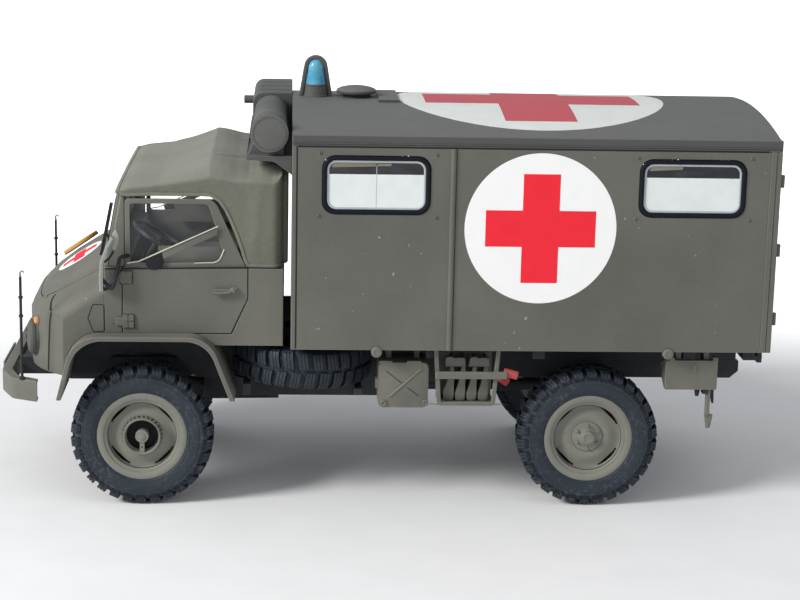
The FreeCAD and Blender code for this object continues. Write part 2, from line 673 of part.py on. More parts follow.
web = plate("bumper_web", "XY", bumper_outline("bumper_sheet"), "bumper_z", "bumper_top")
flanges = [plate("bumper_flange", "XY", bumper_outline("bumper_flange"), low, high)
           for low, high in (("bumper_z", "bumper_z + 0.7 * bumper_sheet"),
                             ("bumper_top - 0.7 * bumper_sheet", "bumper_top"))]
horn = block("rail_front", "bumper_x - bumper_sheet", RAIL_INNER, RAIL_OUTER, "rail_base",
             "bumper_top - 0.7 * bumper_sheet")
plate_stays = [block("bumper_x", "bumper_x + 1.27", f"{y} - 0.7", f"{y} + 0.7", "bumper_z + 0.3",
                     "bumper_z + 1.5") for y in (-4.3, 4.3)]
front_plate = fused(block("bumper_x + 1.27", "bumper_x + 1.67", "-7.45", "7.45", "bumper_z - 0.66",
                          "bumper_z + 1.94"), *plate_stays)
node("front_bumper", fused(web, *flanges, horn, mirrored(horn), front_plate))
POLE = ("bumper_x - 4.6", "bumper_half - 1.6")
pole = fused(rod("Z", "pole_radius", *POLE, "bumper_top", "pole_height"),
             rod("Z", "1.7 * pole_radius", *POLE, "bumper_top + pole_height - 0.8", "0.9"))
node("marker_poles", both_sides(pole))

# ---------------------------------------------------------------------------------------------
# Mudguards and nose
# ---------------------------------------------------------------------------------------------
def arch_outline(spread, foot):
    """Wheel arch seen from the side, spread outwards by a sheet thickness."""
    top = f"axle_z + arch_height + ({spread})"
    return [(f"front_axle_x + arch_radius + 1.02 * ({spread})", f"axle_z + {foot}"),
            (f"front_axle_x + arch_radius - 2.9 + 0.8 * ({spread})", top, "6"),
            (f"front_axle_x - arch_radius + 2.3 - 0.6 * ({spread})", top, "5.5"),
            (f"front_axle_x - arch_radius - 2.0 - 1.1 * ({spread})", f"axle_z + {foot}")]


guard = plate("mudguard", "XZ", arch_outline("guard_thickness", "7.9"), "guard_inner", "guard_outer")
pocket(guard, "XZ", arch_outline("0", "7.8"), "guard_inner - 1", "guard_outer + 1")
node("left_mudguard", guard)
node("right_mudguard", mirrored(guard))
arch_void = plate("arch_void", "XZ", arch_outline("guard_thickness", "7.9"), "guard_inner", "guard_outer + 1")
arch_voids = [arch_void, mirrored(arch_void)]

HOOD = [  # distance ahead of the windscreen foot, height of the crown above the waist
    (0.0, 1.9), (4.6, -0.9), (8.6, -3.5), (11.8, -5.9), (14.4, -8.6), (15.9, -11.6)]
HOOD_CROWN = 70.0
SHOULDER_ROUND = 3.6


def hood_section(x, top, half, foot, crown, shoulder):
    """Cross-section of the nose: crowned top, rounded shoulders, upright sides."""
    side = half - 0.4
    drop = crown - math.sqrt(crown ** 2 - (half - shoulder) ** 2)
    edge_z = top - drop
    upper = Vector(x, half - shoulder, edge_z)
    lower = Vector(x, side + 0.4, edge_z - shoulder)
    bend = Vector(x, half - 0.30 * shoulder, edge_z - 0.26 * shoulder)

    def flip(point):
        return Vector(point.x, -point.y, point.z)
    foot_left = Vector(x, half, foot)
    return Part.Wire([Part.Arc(flip(upper), Vector(x, 0, top), upper).toShape(),
                      Part.Arc(upper, bend, lower).toShape(),
                      Part.LineSegment(lower, foot_left).toShape(),
                      Part.LineSegment(foot_left, flip(foot_left)).toShape(),
                      Part.LineSegment(flip(foot_left), flip(lower)).toShape(),
                      Part.Arc(flip(lower), flip(bend), flip(upper)).toShape()])


def nose_form(wall, foot, rows=HOOD):
    """Outer form of the nose, drawn in all round by a wall thickness."""
    start, waist, half = size("cowl"), size("waist"), size("cab_half") - wall
    reach = size("nose_length")
    stretch = reach / HOOD[-1][0]
    sections = [hood_section(start + ahead * stretch, waist + rise - wall, half, foot, HOOD_CROWN,
                             SHOULDER_ROUND) for ahead, rise in rows]
    hood = Part.makeLoft(sections, True, True)
    front = start + reach - wall
    corner_x, corner_y = front - 1.9, half - 9.0
    side_x = front - 8.3
    plan = Part.Wire([
        Part.LineSegment(Vector(start - 1, -half, foot - 1), Vector(side_x, -half, foot - 1)).toShape(),
        Part.Arc(Vector(side_x, -half, foot - 1), Vector(front - 4.9, -half + 3.4, foot - 1),
                 Vector(corner_x, -corner_y, foot - 1)).toShape(),
        Part.Arc(Vector(corner_x, -corner_y, foot - 1), Vector(front, 0, foot - 1),
                 Vector(corner_x, corner_y, foot - 1)).toShape(),
        Part.Arc(Vector(corner_x, corner_y, foot - 1), Vector(front - 4.9, half - 3.4, foot - 1),
                 Vector(side_x, half, foot - 1)).toShape(),
        Part.LineSegment(Vector(side_x, half, foot - 1), Vector(start - 1, half, foot - 1)).toShape(),
        Part.LineSegment(Vector(start - 1, half, foot - 1), Vector(start - 1, -half, foot - 1)).toShape()])
    column = Part.Face(plan).extrude(Vector(0, 0, waist - foot + 10))
    return hood.common(column)


nose_foot = size("axle_z + nose_base")
nose = solid(nose_form(0.0, nose_foot))
nose_room = solid(nose_form(size("cab_wall"), nose_foot - 2, HOOD[::2] + HOOD[-1:]))


def grille_outline(inset):
    """Rounded grille opening, wider at its foot, drawn in by an inset."""
    low, high, bend = f"axle_z + 14 + {inset}", f"axle_z + 21 - {inset}", f"2.5 - 2 * {inset}"
    foot, head = f"(10.5 - {inset})", f"(9 - {inset})"
    return [(f"-{foot}", low, bend), (foot, low, bend), (head, high, bend), (f"-{head}", high, bend)]


grille_hole = plate("grille_hole", "YZ", grille_outline("0"), "nose_front - 4", "nose_front + 2")
lamp_hole = rod("X", "headlamp_radius - 0.3", "nose_front - 6", "headlamp_y", "axle_z + headlamp_z", "10")
node("nose", cut(nose, nose_room, grille_hole, lamp_hole, mirrored(lamp_hole), *arch_voids))

grille_shell = cut(solid(nose_form(0.3, nose_foot)), solid(nose_form(0.9, nose_foot - 2)))
grille_field = plate("grille_field", "YZ", grille_outline("0.05"), "nose_front - 4", "nose_front + 2")
gaps = [block("nose_front - 5", "nose_front + 3", "-10", "10", f"axle_z + {14.75 + 0.95 * i}",
              f"axle_z + {15.2 + 0.95 * i}") for i in range(6)]
grille_bars = common(grille_shell, grille_field)
side_bars = [block("nose_front - 5", "nose_front + 3", y0, y1, "axle_z + 14", "axle_z + 21.2")
             for y0, y1 in (("-11", "-8.3"), ("8.3", "11"), ("-0.3", "0.3"))]
node("grille", cut(grille_bars, cut(fused(*gaps), fused(*side_bars))))

headlamp = turned("headlamp", [("0", "-1.4"), ("headlamp_radius - 0.6", "-1.4"),
                               ("headlamp_radius - 0.6", "0"), ("headlamp_radius", "0"),
                               ("headlamp_radius", "0.5"),
                               ("0.6 * headlamp_radius", "0.95"), ("0", "1.15")], "Z")
headlamp.Placement.Rotation = FreeCAD.Rotation(Vector(0, 0, 1), Vector(1, 0.18, 0))
for name, term in (("x", "nose_front - 1.6"), ("y", "headlamp_y"), ("z", "axle_z + headlamp_z")):
    headlamp.setExpression(f"Placement.Base.{name}", bind(term))
signal = rod("X", "0.75", "nose_front - 4.2", "headlamp_y + 0.6", "axle_z + headlamp_z + 4.2", "2.1")
node("front_lamps", both_sides(headlamp, cut(signal, nose)))

# ---------------------------------------------------------------------------------------------
# Cab
# ---------------------------------------------------------------------------------------------
CAB_FLOOR = "axle_z + arch_height + guard_thickness"


def door_outline(grow):
    """Lower leaf of the door, grown outwards by a gap."""
    return [(f"door_rear_x - ({grow})", f"waist + ({grow})"),
            (f"door_rear_x - ({grow})", f"waist - 5.6"),
            (f"door_rear_x + 3 - ({grow})", f"sill - ({grow})"),
            (f"door_front_x + ({grow})", f"sill - ({grow})"),
            (f"door_front_x + ({grow})", f"waist + ({grow})")]


side_panel = plate("side_panel", "XZ", [("cab_rear", "cab_base"), ("front_axle_x - arch_radius", "cab_base"),
                                        ("cowl", CAB_FLOOR), ("cowl", "waist"), ("cab_rear", "waist")],
                   "cab_half - cab_wall", "cab_half")
pocket(side_panel, "XZ", door_outline("door_gap"), "cab_half - cab_wall - 1", "cab_half + 1")
side_wall = cut(side_panel, arch_void)
floor_plate = block("cab_rear", "cowl", "cab_wall - cab_half", "cab_half - cab_wall", CAB_FLOOR,
                    f"{CAB_FLOOR} + cab_wall")
rear_plate = plate("cab_rear_plate", "YZ", rectangle("cab_wall - cab_half", "cab_half - cab_wall", "cab_base",
                                                     "waist"), "cab_rear", "cab_rear + cab_wall")
firewall = block("cowl - cab_wall", "cowl", "cab_wall - cab_half", "cab_half - cab_wall",
                 f"{CAB_FLOOR} + cab_wall", "waist - 0.2")
rear_floor = block("cab_rear + cab_wall", "front_axle_x - arch_radius - 0.5", "cab_wall - cab_half",
                   "cab_half - cab_wall", "cab_base", "cab_base + cab_wall")
node("cab_tub", fused(floor_plate, rear_floor, rear_plate, firewall, side_wall, mirrored(side_wall)))

leaf_inner = "cab_half - door_thickness"
window_outline = [("door_rear_x + 0.2", "waist"), ("door_front_x - 0.5", "waist"),
                  ("door_front_x - 0.5", "waist + window_height", "0.8"),
                  ("door_rear_x + 6", "waist + window_height", "2.2")]
pane_outline = [("door_rear_x + 3.9", "waist + window_frame", "1.6"),
                ("door_front_x - 0.5 - window_frame", "waist + window_frame", "0.3"),
                ("door_front_x - 0.5 - window_frame", "waist + window_height - window_frame", "0.5"),
                ("door_rear_x + 7", "waist + window_height - window_frame", "1.2")]
left_door = plate("left_door", "XZ", door_outline("0"), leaf_inner, "cab_half")
pad(left_door, "XZ", window_outline, leaf_inner, "cab_half - 0.35")
pocket(left_door, "XZ", pane_outline, "cab_half - door_thickness - 1", "cab_half + 1")
door_pane = plate("door_pane", "XZ", pane_outline, "cab_half - 0.9", "cab_half - 0.9 + glass_thickness")
pivot = block("door_rear_x + 1.9", "door_rear_x + 2.8", "cab_half", "cab_half + 0.8", "waist - 4.4",
              "waist - 3.5")
handle = fused(pivot, block("door_rear_x + 2.2", "door_rear_x + 6.2", "cab_half + 0.4", "cab_half + 0.8",
                            "waist - 4.2", "waist - 3.7"))
hinges = [block(f"door_front_x - {back}", f"door_front_x - {back} + 2", "cab_half", "cab_half + 0.45",
                f"waist - {drop}", f"waist - {drop} + 1.5") for back, drop in ((1.5, 2.6), (0.7, 10.7))]
whole_door = fused(left_door, handle, *hinges)
node("left_door", whole_door)
node("right_door", mirrored(whole_door))

# Windscreen, leaning back about its foot
RAKE = -math.degrees(math.atan2(size("screen_rake"), size("screen_height")))
SCREEN_LEAN = (Vector(0, 1, 0), RAKE)
screen = plate("screen", "YZ", [("1.0 - cab_half", "0"), ("cab_half - 1.0", "0"),
                                ("cab_half - 1.5", "screen_height", "0.8"),
                                ("1.5 - cab_half", "screen_height", "0.8")], "-cab_wall", "0")
PANES = [[("0.5 * screen_frame", "2.9", "1"), ("cab_half - 1.2 - screen_frame", "2.9", "1"),
          ("cab_half - 1.6 - screen_frame", "screen_height - screen_frame", "1"),
          ("0.5 * screen_frame", "screen_height - screen_frame", "1")]]
PANES.append([(minus(c[0]),) + c[1:] for c in reversed(PANES[0])])
for pane in PANES:
    pocket(screen, "YZ", pane, "-cab_wall - 1", "1")
place(screen, "cowl", "0", "waist", *SCREEN_LEAN)
cheek = plate("screen_cheek", "XZ", [("door_front_x - 0.35", "waist"), ("cowl - 0.5", "waist"),
                                     ("cowl - 0.5 - screen_rake", "waist + screen_height - 1.1"),
                                     ("door_front_x - 0.35", "waist + screen_height - 1.1")],
              "cab_half - 1.9", "cab_half - 1.0")
node("windscreen_frame", fused(screen, cheek, mirrored(cheek)))
screen_panes = [place(plate("screen_pane", "YZ", pane, "-0.7", "glass_thickness - 0.7"),
                      "cowl", "0", "waist", *SCREEN_LEAN) for pane in PANES]
node("cab_windows", group(*screen_panes, door_pane, mirrored(door_pane)))

# Canvas top: flat top with a crease along each shoulder, drawn over one bow
CANVAS = [  # distance ahead of the cab rear wall, height above the waist: crease, side shoulder, lower edge
    (0.2, 18.3, 15.3, 0.2), (4.2, 17.4, 15.6, 0.2), (13.5, 19.0, 16.2, 0.2),
    (21.6, 16.2, 14.6, 0.2), (29.9, 14.2, 13.9, 0.2)]


def canvas_form(wall):
    """Canvas hull drawn in by its thickness, through one polygon section for each row of the table."""
    half, crease, waist = size("cab_half") - 0.4 - wall, size("canvas_shoulder") - wall, size("waist")
    sections = []
    last = len(CANVAS) - 1
    for row, (ahead, top, shoulder, foot) in enumerate(CANVAS):
        x = size("cab_rear") + ahead
        x += wall if row == 0 and wall else (1.0 if row == last and wall else 0.0)
        side = half - (0.9 if row == 0 else 0.5 if row == last else 0.0)
        points = [(half - 0.2, foot - (wall and 1)), (side, shoulder - wall), (crease, top - wall)]
        ring = [Vector(x, y, waist + z) for y, z in points]
        ring += [Vector(x, -y, waist + z) for y, z in reversed(points)]
        sections.append(Part.makePolygon(ring + ring[:1]))
    return Part.makeLoft(sections, True, True)


door_hole = plate("canvas_door_hole", "XZ", [("door_rear_x - 1", "waist - 2"), ("cowl + 3", "waist - 2"),
                                             ("cowl + 3", "waist + window_height + 0.7"),
                                             ("door_rear_x + 5.5", "waist + window_height + 0.5", "2")],
                  "cab_half - 4", "cab_half + 2")
SCREEN_FIELD = rectangle("-cab_half - 2", "cab_half + 2", "-3", "screen_height")
screen_room = place(plate("screen_room", "YZ", SCREEN_FIELD, "-cab_wall - 0.05", "9"),
                    "cowl", "0", "waist", *SCREEN_LEAN)
node("canvas_top", cut(solid(canvas_form(0.0)), solid(canvas_form(size("canvas_thickness"))), door_hole,
                       mirrored(door_hole), screen_room))

# Cab fittings seen through the glass
SEAT_BACK = "cab_rear + 6.5"
SEAT_FRONT = f"{SEAT_BACK} + 12"
cushion = plate("seat_cushion", "XZ", [(SEAT_BACK, "waist - 7.2", "0.8"), (SEAT_FRONT, "waist - 7.2", "0.8"),
                                       (SEAT_FRONT, "waist - 4.4", "1.2"), (SEAT_BACK, "waist - 4.8", "0.8")],
                "5", "19")
backrest = plate("seat_back", "XZ", [(f"{SEAT_BACK} - 1.2", "waist - 7.0", "0.8"),
                                     (f"{SEAT_BACK} + 1.4", "waist - 7.2", "0.8"),
                                     (f"{SEAT_BACK} - 1.6", "waist + 7.4", "1"),
                                     (f"{SEAT_BACK} - 3.6", "waist + 7.4", "0.8")], "5.5", "18.5")
pedestal = block(f"{SEAT_BACK} + 1", f"{SEAT_FRONT} - 1.5", "6.5", "17.5", f"{CAB_FLOOR} + cab_wall",
                 "waist - 7.1")
node("seats", both_sides(fused(cushion, backrest, pedestal)))
PANEL_FRONT = "cowl - cab_wall"
panel = plate("instrument_panel", "XZ", [(f"{PANEL_FRONT} - 4.2", "waist - 4.6", "0.8"),
                                         (PANEL_FRONT, "waist - 6"), (PANEL_FRONT, "waist - 0.7"),
                                         (f"{PANEL_FRONT} - 0.4", "waist + 0.8"),
                                         (f"{PANEL_FRONT} - 3.4", "waist + 0.6", "1")],
              "2.3 - cab_half", "cab_half - 2.3")
WHEEL_LEAN = 32
wheel_rim = cut(rod("Z", "5.8", "0", "0", "-0.35", "0.7"), rod("Z", "5.1", "0", "0", "-1", "2"))
spokes = [strut("0.28", ("0", "0", "0"), (f"5.4 * cos({turn})", f"5.4 * sin({turn})", "0"))
          for turn in (90, 210, 330)]
column = rod("Z", "0.6", "0", "0", "-8", "8.3")
steering = place(fused(wheel_rim, *spokes, column), "front_axle_x - 2.6", "12", "waist + 2.6",
                 Vector(0, 1, 0), -WHEEL_LEAN)
node("dashboard", group(panel, cut(steering, panel)))

# Mirrors, stays and wipers
arm = [("door_front_x - 0.8", "cab_half - 0.3", "waist + 1.8"),
       ("door_front_x + 0.9", "cab_half + 2.2", "waist + 1.7"),
       ("door_front_x + 2.2", "cab_half + 2.8", "waist - 4.0"),
       ("door_front_x + 3.6", "cab_half + 2.8", "waist - 3.4")]
mirror_arm = fused(*[strut("0.42", a, b) for a, b in zip(arm, arm[1:])])
mirror_plate = block("door_front_x + 3.5", "door_front_x + 4.0", "cab_half + 0.9", "cab_half + 3.5",
                     "waist - 4.3", "waist + 4.6")
stay = fused(strut("0.4", ("door_front_x - 3.4", "cab_half + 0.2", "waist + 1.1"),
                   ("door_rear_x + 4.2", "cab_half + 0.05", "waist + 7.6")),
             rod("Y", "1.5", "door_front_x - 6.0", "cab_half + 0.15", "waist + 1.1", "0.6"))
node("mirrors", both_sides(fused(mirror_arm, mirror_plate), stay))
blade_start, blade_end = ("cowl + 0.75", "14.0", "waist + 2.9"), ("cowl - 0.95", "19.4", "waist + 10.2")
wiper = fused(strut("0.22", blade_start, blade_end),
              strut("0.3", ("cowl - 0.4", "14.0", "waist + 2.4"), ("cowl + 0.8", "14.0", "waist + 2.6")))
node("wipers", both_sides(wiper))

# ---------------------------------------------------------------------------------------------
# Box body
# ---------------------------------------------------------------------------------------------
side_start, side_end = "box_rear + rear_post", "box_front - front_post"
pane_z = ("box_base + pane_base", "box_base + pane_base + pane_height")
PANE_SPANS = [("box_front - front_pane_inset - pane_length", "box_front - front_pane_inset"),
              ("box_rear + rear_pane_inset", "box_rear + rear_pane_inset + pane_length")]
FLANK = "box_half - box_wall"
box_side = plate("box_side", "XZ", rectangle(side_start, side_end, "box_base", "box_top"), FLANK, "box_half")
for x0, x1 in PANE_SPANS:
    pocket(box_side, "XZ", rectangle(x0, x1, *pane_z, "pane_corner"), f"{FLANK} - 1", "box_half + 1")
trim_x = "box_front - trim_from_front"
trim = common(rod("Z", "trim_radius", trim_x, "box_half", "box_base + 0.1", "box_height - 0.2"),
              block(f"({trim_x}) - 1", f"({trim_x}) + 1", "box_half", "box_half + 1", "box_base", "box_top"))
lugs = [rod("Y", "1", x, "box_half - box_wall", "box_base - 0.3", "box_wall + 0.5")
        for x in ("box_front - 15.6", "box_rear + 19")]
left_box_side = fused(box_side, trim, *lugs)
node("left_box_side", left_box_side)
node("right_box_side", mirrored(left_box_side))


def crown_face(x, half, edge, top, foot):
    """Face across the box: upright sides, a narrow flat ledge on the rail and a crowned top."""
    skin = half - size("roof_ledge")
    crowned = Part.Arc(Vector(x, -skin, edge), Vector(x, 0, top), Vector(x, skin, edge)).toShape()
    corners = [(skin, edge), (half, edge), (half, foot), (-half, foot), (-half, edge), (-skin, edge)]
    sides = [Part.LineSegment(Vector(x, *a), Vector(x, *b)).toShape() for a, b in zip(corners, corners[1:])]
    return Part.Face(Part.Wire([crowned, *sides]))


def crown_block(x0, x1, half, edge, top, foot):
    face = crown_face(size(x0), size(half), size(edge), size(top), size(foot))
    return solid(face.extrude(Vector(size(x1) - size(x0), 0, 0)))


def gable(x0, x1, foot):
    """What fits under the roof skin between two places along the box."""
    return crown_block(x0, x1, "box_half - roof_wall", "roof_edge - roof_wall", "crown - roof_wall", foot)


roof_outer = crown_block("box_rear", "box_front", "box_half", "roof_edge", "crown", "box_top")
node("box_roof", cut(roof_outer, gable("box_rear - 1", "box_front + 1", "box_top - 1")))
front_wall = fused(block(side_end, "box_front", "-box_half", "box_half", "box_base", "box_top"),
                   gable(side_end, "box_front", "box_top - 0.5"))
node("box_front_wall", front_wall)
rear_gable = gable("box_rear", side_start, "box_top - 0.5")
rear_edge = block("box_rear", side_start, "-box_half", "box_half", "box_base", "box_top")
door_z = ("box_base + rear_door_base", "box_base + rear_door_base + rear_door_height")
rear_hole = block("box_rear - 1", "box_rear + rear_post + 1", "-rear_door_half", "rear_door_half", *door_z)
node("box_rear_frame", cut(fused(rear_edge, rear_gable), rear_hole))
node("box_floor", block(side_start, side_end, f"-({FLANK})", FLANK, "box_base", "box_base + floor_thickness"))

rear_leaf = plate("rear_door", "YZ", rectangle("door_gap / 2", "rear_door_half - door_gap",
                                               f"{door_z[0]} + door_gap", f"{door_z[1]} - door_gap"),
                  "box_rear", "box_rear + rear_door_thickness")
REAR_PANE = rectangle("6.4", "18.4", pane_z[0], f"{pane_z[1]} - 1.2", "pane_corner")
pocket(rear_leaf, "YZ", REAR_PANE, "box_rear - 1", "box_rear + rear_door_thickness + 1")
rear_hinges = [fused(block("box_rear - 0.45", "box_rear", "rear_door_half - 4", "rear_door_half + 2.2",
                           f"box_base + {z} - 0.7", f"box_base + {z} + 0.7"),
                     rod("Z", "0.4", "box_rear - 0.4", "rear_door_half + 0.2", f"box_base + {z} - 1.1",
                         "2.2")) for z in (6.7, 19.1, 31.9)]
handle_plate = block("box_rear - 0.3", "box_rear", "1.2", "2.8", "box_base + 13.2", "box_base + 16.2")
handle_bar = block("box_rear - 0.75", "box_rear - 0.3", "1.4", "6.2", "box_base + 14.2", "box_base + 14.9")
node("rear_door_left", fused(rear_leaf, *rear_hinges, handle_plate, handle_bar))
node("rear_door_right", mirrored(fused(rear_leaf, *rear_hinges)))


def seal(outline_of, plane, low, high, inner_of):
    ring = plate("window_seal", plane, outline_of, low, high)
    pocket(ring, plane, inner_of, f"{low} - 1", f"{high} + 1")
    return ring


seals, panes = [], []
for x0, x1 in PANE_SPANS:
    inside = rectangle(f"{x0} + seal_width", f"{x1} - seal_width", f"{pane_z[0]} + seal_width",
                       f"{pane_z[1]} - seal_width", "pane_corner - seal_width")
    opening = rectangle(x0, x1, *pane_z, "pane_corner")
    seals.append(seal(opening, "XZ", FLANK, "box_half + seal_proud", inside))
    panes.append(plate("window_pane", "XZ", inside, f"{FLANK} + 0.2", f"{FLANK} + 0.2 + glass_thickness"))
rear_inner = rectangle("6.4 + seal_width", "18.4 - seal_width", f"{pane_z[0]} + seal_width",
                       f"{pane_z[1]} - 1.2 - seal_width", "pane_corner - seal_width")
seals.append(seal(REAR_PANE, "YZ", "box_rear - seal_proud", "box_rear + rear_door_thickness", rear_inner))
panes.append(plate("window_pane", "YZ", rear_inner, "box_rear + 0.6", "box_rear + 0.6 + glass_thickness"))
node("window_seals", both_sides(*seals))
node("window_panes", both_sides(*panes))

# ---------------------------------------------------------------------------------------------
# On the roof and in front of the box
# ---------------------------------------------------------------------------------------------
foot_cone = turned("beacon_foot_cone", [("0", "-0.35"), ("beacon_radius + 0.25", "-0.35"),
                                        ("beacon_radius + 0.05", "beacon_foot"), ("0", "beacon_foot")], "Z")
dome = turned("beacon_dome", [("0", "beacon_foot"), ("beacon_radius", "beacon_foot"),
                              ("beacon_radius - 0.55", "beacon_top", "beacon_radius - 0.7"),
                              ("0", "beacon_top")], "Z")
node("beacon_dome", place(dome, "beacon_x", "0", "crown"))


def guard_outline(inset):
    """Arch of the beacon guard: legs that lean together and a round top."""
    foot, top = f"(guard_span / 2 - ({inset}))", f"(guard_top_span / 2 - ({inset}))"
    head, bend = f"crown + guard_rise - ({inset})", f"0.94 * {top}"
    return [(f"beacon_x - {foot}", "crown - 0.35"), (f"beacon_x + {foot}", "crown - 0.35"),
            (f"beacon_x + {top}", head, bend), (f"beacon_x - {top}", head, bend)]


guard_strap = plate("beacon_guard_strap", "XZ", guard_outline("0"), "-guard_depth / 2", "guard_depth / 2")
pocket(guard_strap, "XZ", guard_outline("guard_bar"), "-guard_depth", "guard_depth")
guard_sole = block("beacon_x - guard_span / 2", "beacon_x + guard_span / 2", "-guard_depth / 2",
                   "guard_depth / 2", "crown - 0.35", "crown + 0.2")
roof_under = crown_block("box_rear", "box_front", "box_half", "roof_edge", "crown", "box_top")
place(foot_cone, "beacon_x", "0", "crown")
node("beacon_guard", cut(fused(guard_strap, guard_sole, foot_cone), roof_under))

fan = turned("roof_fan_cap", [("0", "-0.3"), ("fan_radius - 1.1", "-0.3"), ("fan_radius - 1.1", "0.5"),
                              ("fan_radius", "0.6"), ("fan_radius", "1.35", "0.3"), ("0", "2.2")], "Z")
node("roof_fan", cut(place(fan, "fan_x", "0", "crown"), roof_under))

drum = rod("Y", "heater_radius", "heater_x", "heater_end - 30", "heater_z", "30")
drum_ring = rod("Y", "heater_radius + 0.2", "heater_x", "heater_end - 1.4", "heater_z", "0.6")
node("heater_drum", fused(drum, drum_ring))
SHELF_TOP = "heater_z - heater_shelf"
shelf = plate("heater_shelf", "XZ", [("box_front", f"{SHELF_TOP} - 3.5"),
                                     ("box_front + 3.2", f"{SHELF_TOP} - 1.1", "1.5"),
                                     ("heater_x + shelf_reach", f"{SHELF_TOP} - 0.8"),
                                     ("heater_x + shelf_reach", SHELF_TOP), ("box_front", SHELF_TOP)],
              "-27", "27")
CRADLE = [("heater_x - 2.6", SHELF_TOP), ("heater_x + shelf_reach - 0.3", SHELF_TOP),
          ("heater_x + 2.7", "heater_z - 1.2"), ("heater_x - 2.6", "heater_z - 1.2")]
cradles = [plate("drum_cradle", "XZ", CRADLE, y, f"{y} + 1.2")
           for y in ("heater_end - 3.4", "heater_end - 24")]


def housing_outline(grow):
    """End view of the heater housing with its rounded upper front edge, grown by a rib's height."""
    front, top = f"heater_x + 3.1 + {grow}", f"heater_z + housing_rise + {grow}"
    return [("box_front", SHELF_TOP), (front, SHELF_TOP), (front, top, f"1.5 + {grow}"), ("box_front", top)]


HOUSING_END, HOUSING_RIBS, RIB_PITCH, RIB_WIDTH = -26.0, 4, 6.2, 4.4
housing = plate("heater_housing", "XZ", housing_outline("0"), f"{HOUSING_END}", f"{HOUSING_END} + 23")
ribs = [plate("housing_rib", "XZ", housing_outline("0.45"), f"{HOUSING_END + RIB_PITCH * i}",
              f"{HOUSING_END + RIB_PITCH * i + RIB_WIDTH}") for i in range(HOUSING_RIBS)]
outlet = rod("X", "0.8", "heater_x + 3", "-14", "heater_z + 0.8", "2.5")
drum_room = rod("Y", "heater_radius", "heater_x", "heater_end - 30", "heater_z", "30")
node("heater_housing", fused(cut(fused(shelf, *cradles), drum_room), housing, *ribs, outlet))

# ---------------------------------------------------------------------------------------------
# Under the box
# ---------------------------------------------------------------------------------------------
STORE = ("box_base - storage_drop - storage_height", "box_base - storage_drop")
storage = plate("storage_box", "XZ", rectangle("storage_rear", "storage_front", *STORE, "0.9"),
                "gear_face - storage_depth", "gear_face")
ribs = [strut("0.28", ("storage_rear + 2", "gear_face - 0.08", f"{STORE[0]} + 2"),
              ("storage_front - 1.6", "gear_face - 0.08", f"{STORE[1]} - 1.2")),
        strut("0.2", ("storage_front - 2", "gear_face - 0.08", f"{STORE[0]} + 2"),
              ("storage_rear + 1.6", "gear_face - 0.08", f"{STORE[1]} - 1.2"))]
knobs = [rod("Y", "0.4", x, "gear_face", f"{STORE[0]} + 0.9", "0.45")
         for x in ("storage_rear + 0.9", "storage_front - 0.9")]
tabs = [block(f"{x} - 1.3", f"{x} + 1.3", "gear_face - 1", "gear_face", STORE[1], f"{STORE[1]} + 0.4")
        for x in ("storage_rear + 2.4", "storage_front - 1.9")]
latch = block("storage_front", "storage_front + 0.5", "gear_face - 2", "gear_face - 0.4",
              f"{STORE[0]} + 3.6", f"{STORE[0]} + 5.2")
straps = [block(f"{x} - 0.5", f"{x} + 0.5", "gear_face - storage_depth + 0.6", "gear_face - 3.5",
                f"{STORE[1]} - 0.2", "box_base") for x in ("storage_rear + 2", "storage_front - 2")]
node("storage_box", fused(storage, *ribs, *knobs, *tabs, latch, *straps))

RACK = ("box_base - rack_drop", "box_base")
rack_frame = plate("rack_frame", "XZ", [("rack_rear + rack_taper", RACK[0], "0.8"),
                                        ("rack_front - rack_taper", RACK[0], "0.8"),
                                        ("rack_front", RACK[1]), ("rack_rear", RACK[1])],
                   "gear_face - 0.2", "gear_face + 0.8")
pocket(rack_frame, "XZ", [("rack_rear + rack_taper + rack_bar", f"{RACK[0]} + rack_bar"),
                          ("rack_front - rack_taper - rack_bar", f"{RACK[0]} + rack_bar"),
                          ("rack_front - rack_bar", f"{RACK[1]} + 1"),
                          ("rack_rear + rack_bar", f"{RACK[1]} + 1")], "gear_face - 1.2", "gear_face + 1.8")
rack_rail = block("rack_rear - 1.2", "rack_front - 0.4", "gear_face + 0.8", "gear_face + 1.6",
                  "box_base - 5.6", "box_base - 4.3")
rack_tray = block("rack_rear + 1", "rack_front - 1", "gear_face - 6", "gear_face - 0.2", RACK[0],
                  f"{RACK[0]} + 0.5")
rack_back = block("rack_rear + 1", "rack_front - 1", "gear_face - 6", "gear_face - 5.5", RACK[0], RACK[1])
node("chock_rack", fused(rack_frame, rack_rail, rack_tray, rack_back))
CHOCKS = 4
chock_pitch = f"((rack_length - 2 * rack_bar - 2 * rack_taper - 0.4) / {CHOCKS})"
chocks = []
for i in range(CHOCKS):
    x = f"rack_rear + rack_taper + rack_bar + 0.2 + ({i} + 0.5) * {chock_pitch}"
    half = f"0.44 * {chock_pitch}"
    low, high = f"{RACK[0]} + 0.55", f"{RACK[0]} + 9"
    chocks.append(plate("chock", "XZ", [(f"{x} - {half}", low, "0.4"), (f"{x} + {half}", low, "0.4"),
                                        (f"{x} + 0.75 * {half}", f"{low} + 2"), (f"{x} - 0.1 * {half}", high),
                                        (f"{x} - 0.7 * {half}", high), (f"{x} - 0.9 * {half}", f"{low} + 2")],
                        "gear_face - 5.2", "gear_face - 0.4"))
node("wheel_chocks", group(*chocks))
node("red_cylinders", group(
    strut("0.85", ("rack_rear - 1.5", "gear_face + 0.4", "box_base - 4.9"),
          ("rack_rear - 3.9", "gear_face + 0.4", "box_base - 5.4")),
    strut("0.85", ("rack_rear + 0.2", "gear_face - 1.6", "box_base - 6.3"),
          ("rack_rear - 2.2", "gear_face - 1.6", "box_base - 7.2"))))

